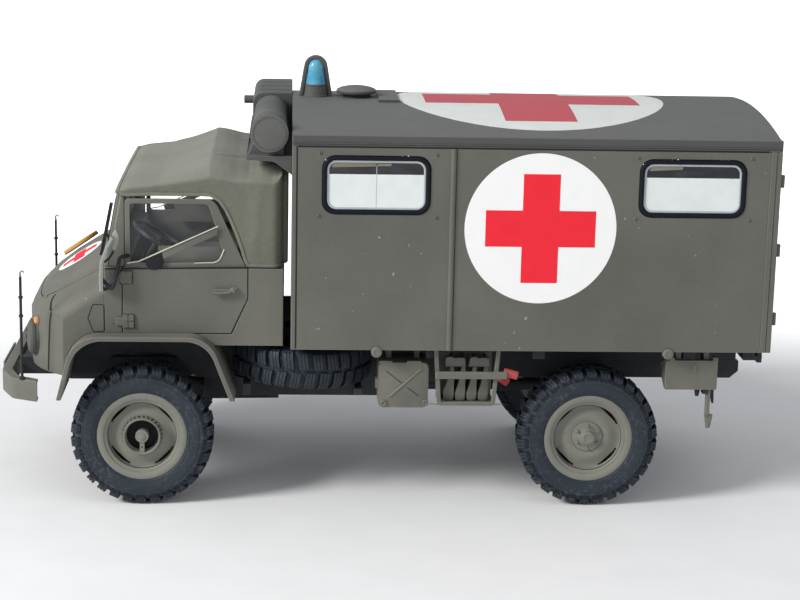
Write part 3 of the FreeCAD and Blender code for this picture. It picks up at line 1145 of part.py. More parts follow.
LOCK = ("box_base - locker_drop - locker_height", "box_base - locker_drop")
locker = plate("rear_locker", "YZ", [("gear_face", LOCK[0]), ("gear_face", LOCK[1]),
                                     ("gear_face - 1.2", LOCK[1]),
                                     ("gear_face - locker_depth", f"{LOCK[0]} + 3"),
                                     ("gear_face - 1.2", LOCK[0])], "locker_rear", "locker_front")
locker_tabs = [block(f"{x} - 0.45", f"{x} + 0.45", "gear_face - 1", "gear_face", LOCK[1], f"{LOCK[1]} + 0.6")
               for x in ("locker_rear + 0.45", "locker_front - 1.15")]
locker_straps = [block(f"{x} - 0.5", f"{x} + 0.5", "gear_face - 4", "gear_face - 1", f"{LOCK[0]} + 3",
                       "box_base") for x in ("locker_rear + 2", "locker_front - 2.5")]
clasp = block("locker_front - 5.6", "locker_front - 5.2", "gear_face", "gear_face + 0.35", f"{LOCK[1]} - 2",
              f"{LOCK[1]} - 0.6")
hook_x = "locker_rear + 1.4"
hook = fused(block(f"{hook_x} - 0.45", f"{hook_x} + 0.35", "gear_face - 1.6", "gear_face - 0.6",
                   f"{LOCK[0]} - 5.2", f"{LOCK[0]} + 1"),
             strut("0.45", (hook_x, "gear_face - 1.1", f"{LOCK[0]} - 5.1"),
                   ("locker_rear + 1.0", "gear_face - 1.1", f"{LOCK[0]} - 7.6")),
             strut("0.4", ("locker_rear + 1.0", "gear_face - 1.1", f"{LOCK[0]} - 7.4"),
                   ("locker_rear + 0.6", "gear_face - 1.1", f"{LOCK[0]} - 5.0")))
pin_under = place(turned("locker_pin", [("0", "-1.4"), ("0.35", "-1.4"), ("0.6", "0.6"), ("0", "0.6")], "Z"),
                  "locker_front - 6.3", "gear_face - 1.2", LOCK[0])
node("rear_locker", fused(locker, *locker_tabs, *locker_straps, clasp, hook, pin_under))
lamp_bar = block("box_rear + 1.1", "box_rear + 2.1", "-26", "26", "box_base - 2.6", "box_base - 1.8")
lamps = [block("box_rear + 0.3", "box_rear + 1.1", f"{y} - 2.2", f"{y} + 2.2", "box_base - 3.1",
               "box_base - 1.3") for y in (23.5, -23.5)]
node("rear_lamps", fused(lamp_bar, *lamps))
silencer = plate("silencer", "XZ", rectangle("front_axle_x - 36", "front_axle_x - 20", "rail_base - 4.6",
                                             "rail_base - 0.8", "1.5"), "-21", "-15.5")
node("exhaust", fused(silencer, strut("0.7", ("front_axle_x - 35.5", "-18", "rail_base - 2.7"),
                                      ("front_axle_x - 46", "-18", "rail_base - 2.7")),
                      strut("0.6", ("front_axle_x - 28", "-16", "rail_base - 1.5"),
                            ("front_axle_x - 28", "rail_width / 2 - rail_y - 1.8",
                             "rail_top - rail_dip - 1"))))

# ---------------------------------------------------------------------------------------------
# Check and write
# ---------------------------------------------------------------------------------------------
doc.recompute()
for made in doc.Objects:
    if {"Invalid", "Error"} & set(made.State):
        raise RuntimeError(f"{made.Name} ({made.Label}) failed: {made.State}")
for name, made in NODES.items():
    if made.Shape.isNull() or not made.Shape.isValid() or not made.Shape.Solids:
        raise RuntimeError(f"{name} has no valid solid")

os.makedirs("parts", exist_ok=True)
for name, made in NODES.items():
    made.Shape.exportStep(os.path.join("parts", f"{name}.step"))
    print(f"{name}: {len(made.Shape.Solids)} solids, {made.Shape.Volume:.1f} mm3")
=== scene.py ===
"""Finishes and fine detail of the scale model of a military ambulance truck.

Lengths are millimetres until a piece is finished.  +X is the front, +Y the left side, +Z up.
"""
import json
import math

import bmesh
import bpy
from mathutils import Matrix, Vector, noise
from mathutils.bvhtree import BVHTree


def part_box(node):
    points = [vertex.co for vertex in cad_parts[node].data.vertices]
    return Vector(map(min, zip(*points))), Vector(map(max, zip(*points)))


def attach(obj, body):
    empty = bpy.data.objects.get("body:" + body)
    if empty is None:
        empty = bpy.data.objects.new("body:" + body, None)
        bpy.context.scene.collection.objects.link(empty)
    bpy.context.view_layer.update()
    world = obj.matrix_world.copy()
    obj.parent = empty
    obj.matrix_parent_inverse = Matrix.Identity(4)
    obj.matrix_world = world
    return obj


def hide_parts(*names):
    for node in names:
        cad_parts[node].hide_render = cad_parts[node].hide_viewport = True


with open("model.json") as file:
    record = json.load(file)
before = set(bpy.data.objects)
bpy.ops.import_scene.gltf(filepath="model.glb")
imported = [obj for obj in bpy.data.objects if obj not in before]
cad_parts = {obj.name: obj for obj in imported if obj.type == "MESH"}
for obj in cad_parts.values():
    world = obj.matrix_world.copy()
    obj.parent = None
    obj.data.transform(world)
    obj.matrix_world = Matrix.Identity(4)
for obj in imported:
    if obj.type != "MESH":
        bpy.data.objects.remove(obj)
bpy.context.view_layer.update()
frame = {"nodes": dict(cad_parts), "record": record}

MM = 0.001
LEFT, RIGHT = SIDES = (1, -1)
NODE_SLOTS = {row["node"]: row["material_slot"] for row in frame["record"]["subparts"]}


# --- Measures taken from the frame ---
def low_high(node):
    """Lowest and highest corner of a construction piece, in millimetres."""
    low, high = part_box(node)
    return low / MM, high / MM


def middle(node):
    low, high = low_high(node)
    return (low + high) / 2


FRONT_WHEEL = middle("front_left_tyre")
REAR_WHEEL = middle("rear_left_tyre")
TYRE_RADIUS = (low_high("front_left_tyre")[1].z - low_high("front_left_tyre")[0].z) / 2
ROOF_LOW, ROOF_HIGH = low_high("box_roof")
CAB_HIGH = low_high("cab_tub")[1]
NOSE_LOW, NOSE_HIGH = low_high("nose")
BOX_FACE = ROOF_HIGH.y
CAB_FACE = CAB_HIGH.y
ROOF_CROWN = ROOF_HIGH.z
WAIST = CAB_HIGH.z
BOX_FOOT = low_high("box_floor")[0].z
PANEL = 1.2  # thickness of the box walls
STRIP_X = -11.85
LUG_PLACES = (1.3, -52.1)
HINGE_LEVELS = (37.2, 50.0, 62.7)
SIDE_WINDOWS = [(-7.4, 11.1), (-64.3, -45.8)]
WINDOW_LOW, WINDOW_HIGH = 56.44, 66.14
REAR_WINDOW = (6.9, 56.44, 17.9, 64.94)
REBATE = 0.5  # how far a window opening reaches under its rubber
SEAM_SINK, BEAD_SINK = 0.05, 0.06  # how far lines and beads reach into the surface
JOIN = 0.002  # corners closer than this are one corner
DISC_WALL, CLOTH = 0.32, 0.5


# --- Modelling helpers ---
def rounded(corners, steps=5):
    """Closed outline of (u, v) or (u, v, radius) with its corners rounded."""
    points = []
    for i, corner in enumerate(corners):
        here = Vector(corner[:2])
        radius = corner[2] if len(corner) > 2 else 0.0
        if not radius:
            points.append((here.x, here.y))
            continue
        back = (Vector(corners[i - 1][:2]) - here).normalized()
        ahead = (Vector(corners[(i + 1) % len(corners)][:2]) - here).normalized()
        half = back.angle(ahead) / 2
        centre = here + (back + ahead).normalized() * radius / math.sin(half)
        first = here + back * radius / math.tan(half) - centre
        sweep = math.pi - 2 * half
        turn = sweep if back.x * ahead.y - back.y * ahead.x < 0 else -sweep
        for k in range(steps + 1):
            spun = Matrix.Rotation(turn * k / steps, 2) @ first
            points.append((centre.x + spun.x, centre.y + spun.y))
    return points


def rectangle(u0, v0, u1, v1, radius=0.0, steps=5):
    return rounded([(u0, v0, radius), (u1, v0, radius), (u1, v1, radius), (u0, v1, radius)], steps)


def bent(points, radius, steps):
    """Open path through 3D points with its inner corners rounded."""
    path = [Vector(points[0])]
    for before, here, after in zip(points, points[1:], points[2:]):
        here = Vector(here)
        back, ahead = Vector(before) - here, Vector(after) - here
        reach = min(radius, 0.45 * back.length, 0.45 * ahead.length)
        start, end = here + back.normalized() * reach, here + ahead.normalized() * reach
        for k in range(steps + 1):
            t = k / steps
            path.append(start * (1 - t) ** 2 + here * 2 * t * (1 - t) + end * t ** 2)
    return path + [Vector(points[-1])]


def upright(y):
    """Turns outline points (x, z) into places on a plane facing left or right."""
    return lambda point: Vector((point[0], y, point[1]))


def crosswise(x):
    """Turns outline points (y, z) into places on a plane facing forwards or back."""
    return lambda point: Vector((x, *point))


def turned_by(degrees, axis):
    return Matrix.Rotation(math.radians(degrees), 4, axis)


def facing(normal):
    """Rotation that stands an upright part on a surface with this normal."""
    return normal.to_track_quat("Z", "Y").to_matrix()


def take_shape(shape, node):
    """Fill a bmesh with a construction piece, in millimetres and with its loose triangles joined."""
    shape.from_mesh(frame["nodes"][node].data)
    bmesh.ops.scale(shape, vec=(1 / MM,) * 3, verts=shape.verts)
    bmesh.ops.remove_doubles(shape, verts=shape.verts, dist=JOIN)


def bevel(mesh, edges, width, **settings):
    """Ease edges with a small bevel of two facets."""
    settings = {"segments": 2, "affect": "EDGES", "profile": 0.5, "clamp_overlap": True, "material": -1, **settings}
    bmesh.ops.bevel(mesh, geom=edges, offset=width, **settings)


class Stock:
    """A piece in the making; new faces take the finish number in self.finish."""

    def __init__(self):
        self.mesh = bmesh.new()
        self.finish = 0

    def _paint(self, faces):
        for face in faces:
            face.material_index = self.finish

    def block(self, low, high, turn=None):
        """Block between two corners, perhaps placed by a matrix."""
        (x0, y0, z0), (x1, y1, z1) = low, high
        corners = [Vector((x, y, z)) for x in (x0, x1) for y in (y0, y1) for z in (z0, z1)]
        verts = [self.mesh.verts.new(turn @ c if turn else c) for c in corners]
        faces = [self.mesh.faces.new([verts[i] for i in ring]) for ring in
                 ((0, 1, 3, 2), (4, 6, 7, 5), (0, 4, 5, 1), (2, 3, 7, 6), (0, 2, 6, 4), (1, 5, 7, 3))]
        self._paint(faces)

    def plate(self, outline, lay, thickness, edge=0.0):
        """Plate: an outline of (u, v) points laid by a function, thickened along a vector."""
        base = [self.mesh.verts.new(lay(p)) for p in outline]
        top = [self.mesh.verts.new(lay(p) + Vector(thickness)) for p in outline]
        count = len(outline)
        faces = [self.mesh.faces.new(base[::-1]), self.mesh.faces.new(top)]
        faces += [self.mesh.faces.new((base[i], base[(i + 1) % count], top[(i + 1) % count], top[i]))
                  for i in range(count)]
        self._paint(faces)
        if edge:
            bevel(self.mesh, list(faces[0].edges) + list(faces[1].edges), edge)

    def side_plate(self, outline, y, thickness, edge=0.0):
        """Plate on an outline of (x, z) points beside the truck, thickened outwards."""
        self.plate(outline, upright(y), (0, math.copysign(thickness, y), 0), edge)

    def pierced(self, extent, openings, lay, thickness):
        """Panel over (u0, v0, u1, v1) with round-cornered openings, laid by a function and thickened."""
        u0, v0, u1, v1 = extent
        radius, steps, reach = 2.4, 6, 0.8
        frames = [(a - reach, b - reach, c + reach, d + reach) for a, b, c, d in openings]
        columns = sorted({u0, u1, *(f[0] for f in frames), *(f[2] for f in frames)})
        levels = sorted({v0, v1, *(f[1] for f in frames), *(f[3] for f in frames)})
        cells = []
        for a, c in zip(columns, columns[1:]):
            for b, d in zip(levels, levels[1:]):
                corners = [(a, b), (c, b), (c, d), (a, d)]
                if (a, b, c, d) not in frames:
                    cells.append(corners)
                    continue
                opening = openings[frames.index((a, b, c, d))]
                outline = rectangle(*opening, radius, steps)
                bends = [outline[k * (steps + 1):(k + 1) * (steps + 1)] for k in range(4)]
                for k, bend in enumerate(bends):
                    cells += [[corners[k], later, here] for here, later in zip(bend, bend[1:])]
                    cells.append([corners[k], corners[(k + 1) % 4], bends[(k + 1) % 4][0], bend[-1]])
        made = {}

        def corner(point, layer):
            key = (round(point[0], 4), round(point[1], 4), layer)
            if key not in made:
                made[key] = self.mesh.verts.new(lay(point) + Vector(thickness) * layer)
            return made[key]
        faces, sides = [], {}
        for cell in cells:
            for layer in (0, 1):
                faces.append(self.mesh.faces.new([corner(p, layer) for p in cell]))
            for a, b in zip(cell, cell[1:] + cell[:1]):
                pair = frozenset((corner(a, 1), corner(b, 1)))
                sides[pair] = None if pair in sides else (a, b)
        rim = []
        for a, b in filter(None, sides.values()):
            wall = self.mesh.faces.new((corner(a, 0), corner(b, 0), corner(b, 1), corner(a, 1)))
            faces.append(wall)
            if a[0] == b[0] and a[0] in (u0, u1) or a[1] == b[1] and a[1] in (v0, v1):
                rim += list(wall.edges)
        self._paint(faces)
        bmesh.ops.recalc_face_normals(self.mesh, faces=faces)
        rim = [e for e in set(rim) if e.is_manifold and e.calc_face_angle() > 0.5]
        bevel(self.mesh, rim, 0.14, material=1)

    def rings(self, rows, wrap, cap=True):
        """Skin over rows of points; wrap closes each row, cap closes the two end rows."""
        made = [[self.mesh.verts.new(p) for p in row] for row in rows]
        faces = []
        for a, b in zip(made, made[1:]):
            count = len(a)
            for i in range(count if wrap else count - 1):
                j = (i + 1) % count
                faces.append(self.mesh.faces.new((a[i], a[j], b[j], b[i])))
        if cap and wrap:
            faces += [self.mesh.faces.new(made[0][::-1]), self.mesh.faces.new(made[-1])]
        self._paint(faces)

    def turned(self, profile, centre=(0, 0, 0), axis="Y", sides=48, closed=False, lean=None):
        """Turn (radius, height) points about an axis through a centre."""
        centre = Vector(centre)
        spin = {"Y": lambda r, t, h: Vector((r * math.cos(t), h, r * math.sin(t))),
                "Z": lambda r, t, h: Vector((r * math.cos(t), r * math.sin(t), h)),
                "X": lambda r, t, h: Vector((h, r * math.cos(t), r * math.sin(t)))}[axis]
        rows = []
        for radius, height in profile:
            if radius < 1e-6:
                points = [spin(0, 0, height)]
            else:
                points = [spin(radius, math.tau * i / sides, height) for i in range(sides)]
            rows.append([self.mesh.verts.new(centre + (lean @ p if lean else p)) for p in points])
        faces = []
        for a, b in zip(rows, rows[1:] + (rows[:1] if closed else [])):
            for i in range(sides):
                j = (i + 1) % sides
                ring = [a[i % len(a)], a[j % len(a)], b[j % len(b)], b[i % len(b)]]
                ring = [v for k, v in enumerate(ring) if v not in ring[:k]]
                if len(ring) > 2:
                    faces.append(self.mesh.faces.new(ring))
        if not closed:
            faces += [self.mesh.faces.new(row) for row in (rows[0], rows[-1]) if len(row) > 2]
        self._paint(faces)

    def boss(self, profile, place, side, sides):
        """Turned part that stands out from the left or the right of the truck."""
        self.turned([(r, h * side) for r, h in profile], place, "Y", sides)

    def sweep(self, path, profile, out, closed=False):
        """Draw a closed profile of (side, out) points along a path; out is one direction or one per point."""
        path = [Vector(p) for p in path]
        count = len(path)
        outs = [Vector(o) for o in out] if isinstance(out, list) else [Vector(out)] * count
        rows = []
        for i, here in enumerate(path):
            before = path[i - 1] if i or closed else here
            after = path[(i + 1) % count] if i < count - 1 or closed else here
            along = (after - before).normalized()
            side = outs[i].cross(along).normalized()
            up = along.cross(side)
            rows.append([here + side * s + up * o for s, o in profile])
        if closed:
            rows.append(rows[0])
        self.rings(rows, True, not closed)

    def side_line(self, points, y, profile, closed=False):
        """Draw a profile along (x, z) points beside the truck, standing outwards."""
        self.sweep([(x, y, z) for x, z in points], profile, (0, math.copysign(1, y), 0), closed)

    def tube(self, path, radius, sides):
        """Round bar along a path; radius is one number or one per point."""
        path = [Vector(p) for p in path]
        radii = radius if isinstance(radius, list) else [radius] * len(path)
        side, rows = None, []
        for i, here in enumerate(path):
            along = (path[min(i + 1, len(path) - 1)] - path[max(i - 1, 0)]).normalized()
            if side is None:
                side = along.orthogonal().normalized()
            side = (side - along * side.dot(along)).normalized()
            up = along.cross(side)
            turns = [math.tau * k / sides for k in range(sides)]
            rows.append([here + (side * math.cos(t) + up * math.sin(t)) * radii[i] for t in turns])
        self.rings(rows, True)

    def add(self, mesh, place=None):
        """Add a finished mesh, perhaps moved by a matrix, in the present finish."""
        first, faces = len(self.mesh.verts), len(self.mesh.faces)
        self.mesh.from_mesh(mesh)
        self.mesh.verts.ensure_lookup_table()
        self.mesh.faces.ensure_lookup_table()
        if place:
            for vert in self.mesh.verts[first:]:
                vert.co = place @ vert.co
        self._paint(self.mesh.faces[faces:])

    def mirror(self):
        """Add the same again on the other side of the truck."""
        copy = bmesh.ops.duplicate(self.mesh, geom=self.mesh.verts[:] + self.mesh.edges[:] + self.mesh.faces[:])
        new = [part for part in copy["geom"] if isinstance(part, bmesh.types.BMVert)]
        for vert in new:
            vert.co.y = -vert.co.y

    def to_mesh(self, name):
        """Plain mesh in millimetres, every closed skin facing outwards."""
        bmesh.ops.remove_doubles(self.mesh, verts=self.mesh.verts, dist=0.0005)
        bmesh.ops.recalc_face_normals(self.mesh, faces=self.mesh.faces)
        mesh = bpy.data.meshes.new(name)
        self.mesh.to_mesh(mesh)
        self.mesh.free()
        return mesh


def even_shading(mesh, limit):
    """Shade each corner by the faces round it that turn less than a limit, the largest counting most."""
    normals = [face.normal.copy() for face in mesh.polygons]
    areas = [face.area for face in mesh.polygons]
    around = [[] for _ in mesh.vertices]
    for face in mesh.polygons:
        for corner in face.vertices:
            around[corner].append(face.index)
    least = math.cos(math.radians(limit))
    shaded = []
    for face in mesh.polygons:
        for corner in face.vertices:
            near = [k for k in around[corner] if normals[k].dot(normals[face.index]) > least]
            shaded.append(sum((normals[k] * areas[k] for k in near), Vector()).normalized())
    mesh.normals_split_custom_set(shaded)


def piece(name, stock, finishes, stands_for=(), slot=None, body="truck", sharp=32, even=False):
    """Finish a piece: metres, shading, finishes, the body that it rides and the nodes it stands for."""
    mesh = stock.to_mesh(name) if isinstance(stock, Stock) else stock
    mesh.polygons.foreach_set("use_smooth", [True] * len(mesh.polygons))
    if even:
        even_shading(mesh, sharp)
    else:
        mesh.set_sharp_from_angle(angle=math.radians(sharp))
    mesh.transform(Matrix.Scale(MM, 4))
    made = bpy.data.objects.new(name, mesh)
    bpy.context.scene.collection.objects.link(made)
    for finish in finishes if isinstance(finishes, (list, tuple)) else [finishes]:
        mesh.materials.append(finish)
    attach(made, body)
    if stands_for:
        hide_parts(*stands_for)
    slot = slot or (NODE_SLOTS[stands_for[0]] if stands_for else None)
    return made


def eased(node, finishes, edge=0.12, limit=32):
    """Show a construction piece with softened edges, the edges in the second finish."""
    stock = Stock()
    mesh = stock.mesh
    take_shape(mesh, node)
    bmesh.ops.dissolve_limit(mesh, angle_limit=math.radians(1.0), verts=mesh.verts, edges=mesh.edges,
                             use_dissolve_boundaries=False)
    bmesh.ops.recalc_face_normals(mesh, faces=mesh.faces)
    edges = [e for e in mesh.edges if e.is_manifold and e.calc_face_angle() > math.radians(limit)]
    bevel(mesh, edges, edge, clamp_overlap=False, material=1, miter_outer="ARC")
    bodies = frame["record"]["behaviour"]["bodies"]
    body = next(name for name, nodes in bodies.items() if node in nodes)
    return piece(node + "_finished", stock, finishes, [node], body=body, sharp=50, even=True)


class Skin:
    """Outer surface of a construction piece, to lay lines and films on."""

    def __init__(self, node):
        shape = bmesh.new()
        take_shape(shape, node)
        self.tree = BVHTree.FromBMesh(shape)
        shape.free()

    def meet(self, point, look):
        """Place and outward normal where a line through a point, looking inwards, meets the surface."""
        look = Vector(look).normalized()
        far = 60.0
        place, normal = self.tree.ray_cast(Vector(point) - look * far, look)[:2]
        if place is None:
            place, normal = self.tree.find_nearest(Vector(point))[:2]
        return place, normal if normal.dot(look) < 0 else -normal

    def line(self, stock, points, look, profile, step):
        """Draw a profile along points cast onto the surface."""
        path = []
        for start, end in zip(points, points[1:]):
            start, end = Vector(start), Vector(end)
            count = max(1, round((end - start).length / step))
            path += [start.lerp(end, k / count) for k in range(count)]
        met = [self.meet(p, look) for p in path + [Vector(points[-1])]]
        normals = [n for _, n in met]
        smooth = [(normals[max(i - 1, 0)] + n + normals[min(i + 1, len(met) - 1)]).normalized()
                  for i, n in enumerate(normals)]
        stock.sweep([p for p, _ in met], profile, smooth)

    def film(self, stock, cells, look, lift):
        """Thin film over planar cells of 3D corner points, cast onto the surface and closed round its rim."""
        corners = {}
        for cell in cells:
            for point in cell:
                key = tuple(round(c, 4) for c in point)
                if key not in corners:
                    place, normal = self.meet(point, look)
                    corners[key] = [stock.mesh.verts.new(place + normal * out) for out in (lift, -SEAM_SINK)]
        rings = [[corners[tuple(round(c, 4) for c in point)] for point in cell] for cell in cells]
        faces, sides = [], {}
        for ring in rings:
            faces.append(stock.mesh.faces.new([upper for upper, _ in ring]))
            faces.append(stock.mesh.faces.new([lower for _, lower in reversed(ring)]))
            for a, b in zip(ring, ring[1:] + ring[:1]):
                pair = frozenset((a[0], b[0]))
                sides[pair] = None if pair in sides else (a, b)
        for a, b in filter(None, sides.values()):
            faces.append(stock.mesh.faces.new((a[0], a[1], b[1], b[0])))
        stock._paint(faces)


def seam(width, depth):
    """Profile of a narrow dark joint line."""
    half = width / 2
    return [(-half, -SEAM_SINK), (half, -SEAM_SINK), (half, depth), (-half, depth)]


def bead(width, height, steps=6):
    """Profile of a half-round bead."""
    half = width / 2
    turns = [math.pi * k / steps for k in range(steps + 1)]
    return [(-half, -BEAD_SINK), *((-half * math.cos(t), height * math.sin(t)) for t in turns), (half, -BEAD_SINK)]


# --- Node trees for what repeats ---
def feed(tree, socket, value):
    """Give an input a number, a colour or the output of another node."""
    if hasattr(value, "is_output"):
        tree.links.new(value, socket)
    else:
        socket.default_value = value


def add_node(tree, kind, inputs=None, **settings):
    """Add a node with its settings and what feeds its inputs."""
    made = tree.nodes.new(kind)
    for label, value in settings.items():
        setattr(made, label, value)
    for label, value in (inputs or {}).items():
        feed(tree, made.inputs[label], value)
    return made


def number(tree, operation, *terms):
    return add_node(tree, "ShaderNodeMath", dict(enumerate(terms)), operation=operation).outputs[0]


def new_tree(name, **sizes):
    """Geometry tree with a shape socket, named size sockets and a finish socket, and what it is given."""
    tree = bpy.data.node_groups.new(name, "GeometryNodeTree")
    for label, kind in {"Shape": "Geometry", **sizes, "Finish": "Material"}.items():
        tree.interface.new_socket(label, in_out="INPUT", socket_type="NodeSocket" + kind)
    tree.interface.new_socket("Made", in_out="OUTPUT", socket_type="NodeSocketGeometry")
    return tree, add_node(tree, "NodeGroupInput").outputs


def close_tree(tree, given, shapes):
    """End a tree in real geometry that carries its finish."""
    real = add_node(tree, "GeometryNodeRealizeInstances", {"Geometry": shapes})
    finish = add_node(tree, "GeometryNodeSetMaterial", {"Geometry": real.outputs[0], "Material": given["Finish"]})
    add_node(tree, "NodeGroupOutput", {"Made": finish.outputs[0]})
    return tree


def instances(tree, points, shape, turn):
    """Stand a turned copy of a shape on every point."""
    inputs = {"Points": points.outputs[0], "Instance": shape, "Rotation": turn.outputs[0]}
    return add_node(tree, "GeometryNodeInstanceOnPoints", inputs).outputs[0]


def round_tree():
    """Repeat the shape in even turns about the Y axis."""
    tree, given = new_tree("repeat_round", Count="Int", Start="Float")
    index = add_node(tree, "GeometryNodeInputIndex").outputs[0]
    share = number(tree, "DIVIDE", index, given["Count"])
    turn = number(tree, "MULTIPLY_ADD", share, math.tau, given["Start"])
    angles = add_node(tree, "ShaderNodeCombineXYZ", {"Y": turn})
    spin = add_node(tree, "FunctionNodeEulerToRotation", {0: angles.outputs[0]})
    points = add_node(tree, "GeometryNodePoints", {"Count": given["Count"]})
    return close_tree(tree, given, instances(tree, points, given["Shape"], spin))


def thread_tree():
    """Lay short threads along a path: the shape is the path, each stitch a little rod."""
    tree, given = new_tree("stitch_path", Pitch="Float", Length="Float", Radius="Float")
    curve = add_node(tree, "GeometryNodeMeshToCurve", {0: given["Shape"]})
    even = add_node(tree, "GeometryNodeResampleCurve", {"Curve": curve.outputs[0], "Length": given["Pitch"]},
                    mode="LENGTH")
    along = add_node(tree, "GeometryNodeInputTangent").outputs[0]
    turn = add_node(tree, "FunctionNodeAlignRotationToVector", {"Vector": along}, axis="Z")
    stitch = add_node(tree, "GeometryNodeMeshCylinder", {"Vertices": 6, "Radius": given["Radius"],
                                                         "Depth": given["Length"]})
    return close_tree(tree, given, instances(tree, even, stitch.outputs["Mesh"], turn))


def coil_tree():
    """Wind a round wire into a coil spring standing on its foot."""
    tree, given = new_tree("coil_spring", Turns="Float", Radius="Float", Height="Float", Wire="Float")
    spiral = add_node(tree, "GeometryNodeCurveSpiral", {
        "Resolution": 24, "Rotations": given["Turns"], "Start Radius": given["Radius"],
        "End Radius": given["Radius"], "Height": given["Height"]})
    ring = add_node(tree, "GeometryNodeCurvePrimitiveCircle", {"Resolution": 8, "Radius": given["Wire"]})
    wire = add_node(tree, "GeometryNodeCurveToMesh", {
        "Fill Caps": True, "Curve": spiral.outputs[0], "Profile Curve": ring.outputs[0]})
    return close_tree(tree, given, wire.outputs[0])


TREES = {"round": round_tree(), "thread": thread_tree(), "coil": coil_tree()}


def worked(mesh, kind, set_up):
    """Copy of a mesh after one modifier, which a function sets up."""
    holder = bpy.data.objects.new(mesh.name, mesh)
    bpy.context.scene.collection.objects.link(holder)
    set_up(holder.modifiers.new(kind, kind))
    bpy.context.view_layer.update()
    made = bpy.data.meshes.new_from_object(holder.evaluated_get(bpy.context.evaluated_depsgraph_get()))
    bpy.data.objects.remove(holder)
    return made


def walled(mesh, thickness, offset):
    """Copy of a thin sheet with a wall of even thickness."""
    def set_up(wall):
        wall.thickness, wall.offset = thickness, offset
    return worked(mesh, "SOLIDIFY", set_up)


def grown(kind, shape, **values):
    """Mesh that a node tree makes of a starting shape."""
    def set_up(change):
        change.node_group = TREES[kind]
        for socket in TREES[kind].interface.items_tree:
            if socket.in_out == "INPUT" and socket.name in values:
                change[socket.identifier] = values[socket.name]
    return worked(shape.to_mesh(kind) if isinstance(shape, Stock) else shape, "NODES", set_up)


def path_mesh(points):
    mesh = bpy.data.meshes.new("path")
    mesh.from_pydata(points, [(i, i + 1) for i in range(len(points) - 1)], [])
    return mesh


# --- Finishes ---
def shade(red, green, blue):
    """Colour from 0 to 255 as a painter mixes it, in linear light."""
    parts = [c / 255 for c in (red, green, blue)]
    return tuple(c / 12.92 if c <= 0.04045 else ((c + 0.055) / 1.055) ** 2.4 for c in parts) + (1.0,)


class Finish:
    """A material in the making, with short words for its nodes."""

    def __init__(self, name, **sockets):
        self.made = bpy.data.materials.new(name)
        self.made.use_nodes = True
        self.tree = self.made.node_tree
        self.shader = self.tree.nodes["Principled BSDF"]
        self.place = self.node("ShaderNodeTexCoord").outputs["Object"]
        for label, value in sockets.items():
            self.give(label.replace("_", " "), value)

    def give(self, label, value):
        """Feed an input of the shader."""
        feed(self.tree, self.shader.inputs[label], value)

    def node(self, kind, inputs=None, **settings):
        return add_node(self.tree, kind, inputs, **settings)

    def noise(self, scale, detail, stretch=(1, 1, 1)):
        place = self.place
        if stretch != (1, 1, 1):
            place = self.node("ShaderNodeMapping", {"Scale": stretch, "Vector": place}).outputs[0]
        return self.node("ShaderNodeTexNoise", {"Scale": scale, "Detail": detail, "Vector": place}).outputs["Fac"]

    def maths(self, operation, *terms):
        return number(self.tree, operation, *terms)

    def range(self, value, low, high, start=0.0, end=1.0):
        terms = {"Value": value, "From Min": low, "From Max": high, "To Min": start, "To Max": end}
        return self.node("ShaderNodeMapRange", terms).outputs[0]

    def mix(self, share, first, second):
        return self.node("ShaderNodeMix", {"Factor": share, 6: first, 7: second}, data_type="RGBA").outputs[2]

    def upward(self, vector):
        return self.node("ShaderNodeSeparateXYZ", {0: vector}).outputs["Z"]

    def level(self):
        """Height of a point above the ground, in metres."""
        return self.upward(self.place)

    def facing_up(self):
        return self.maths("MAXIMUM", self.upward(self.node("ShaderNodeNewGeometry").outputs["Normal"]), 0.0)

    def bump(self, height, strength, distance):
        terms = {"Strength": strength, "Distance": distance, "Height": height}
        self.give("Normal", self.node("ShaderNodeBump", terms).outputs[0])

    def done(self, colour, rough):
        self.give("Base Color", colour)
        self.give("Roughness", rough)
        return self.made


MUD_TOP, MUD_FOOT = 0.036, 0.004  # metres above the ground


def painted(name, light, dark, rough=0.62, dust=0.16, chips=0.0, top=None):
    """Flat modelling paint: soft patches, fine speckle, dust on what faces up and mud low down."""
    finish = Finish(name, Specular_IOR_Level=0.35)
    broad = finish.range(finish.noise(45, 3), 0.36, 0.64)
    fine = finish.range(finish.noise(1300, 2), 0.3, 0.7)
    share = finish.maths("MULTIPLY_ADD", fine, 0.3, finish.maths("MULTIPLY", broad, 0.7))
    colour = finish.mix(share, shade(*dark), shade(*light))
    # top: a lighter colour on what faces up, a painted highlight for the light falling on top.
    if top:
        colour = finish.mix(finish.range(finish.facing_up(), 0.2, 0.8), colour, shade(*top))
    settled = finish.maths("MULTIPLY", finish.facing_up(), finish.range(finish.noise(160, 4), 0.35, 0.7, 0.25, 1.0))
    colour = finish.mix(finish.maths("MULTIPLY", settled, dust), colour, shade(168, 167, 156))
    splash = finish.maths("MULTIPLY", finish.range(finish.level(), MUD_TOP, MUD_FOOT),
                          finish.range(finish.noise(300, 5), 0.42, 0.62))
    colour = finish.mix(finish.maths("MULTIPLY", splash, dust * 1.6), colour, shade(142, 136, 120))
    if chips:
        spots = finish.range(finish.noise(900, 1), 0.765, 0.78)
        patch = finish.range(finish.noise(60, 2), 0.50, 0.56)
        flaked = finish.maths("MULTIPLY", finish.maths("MULTIPLY", spots, patch), chips)
        colour = finish.mix(flaked, colour, shade(176, 174, 160))
    finish.bump(finish.noise(2600, 3), 0.25, 0.00004)
    return finish.done(colour, finish.range(fine, 0.0, 1.0, rough - 0.06, rough + 0.08))


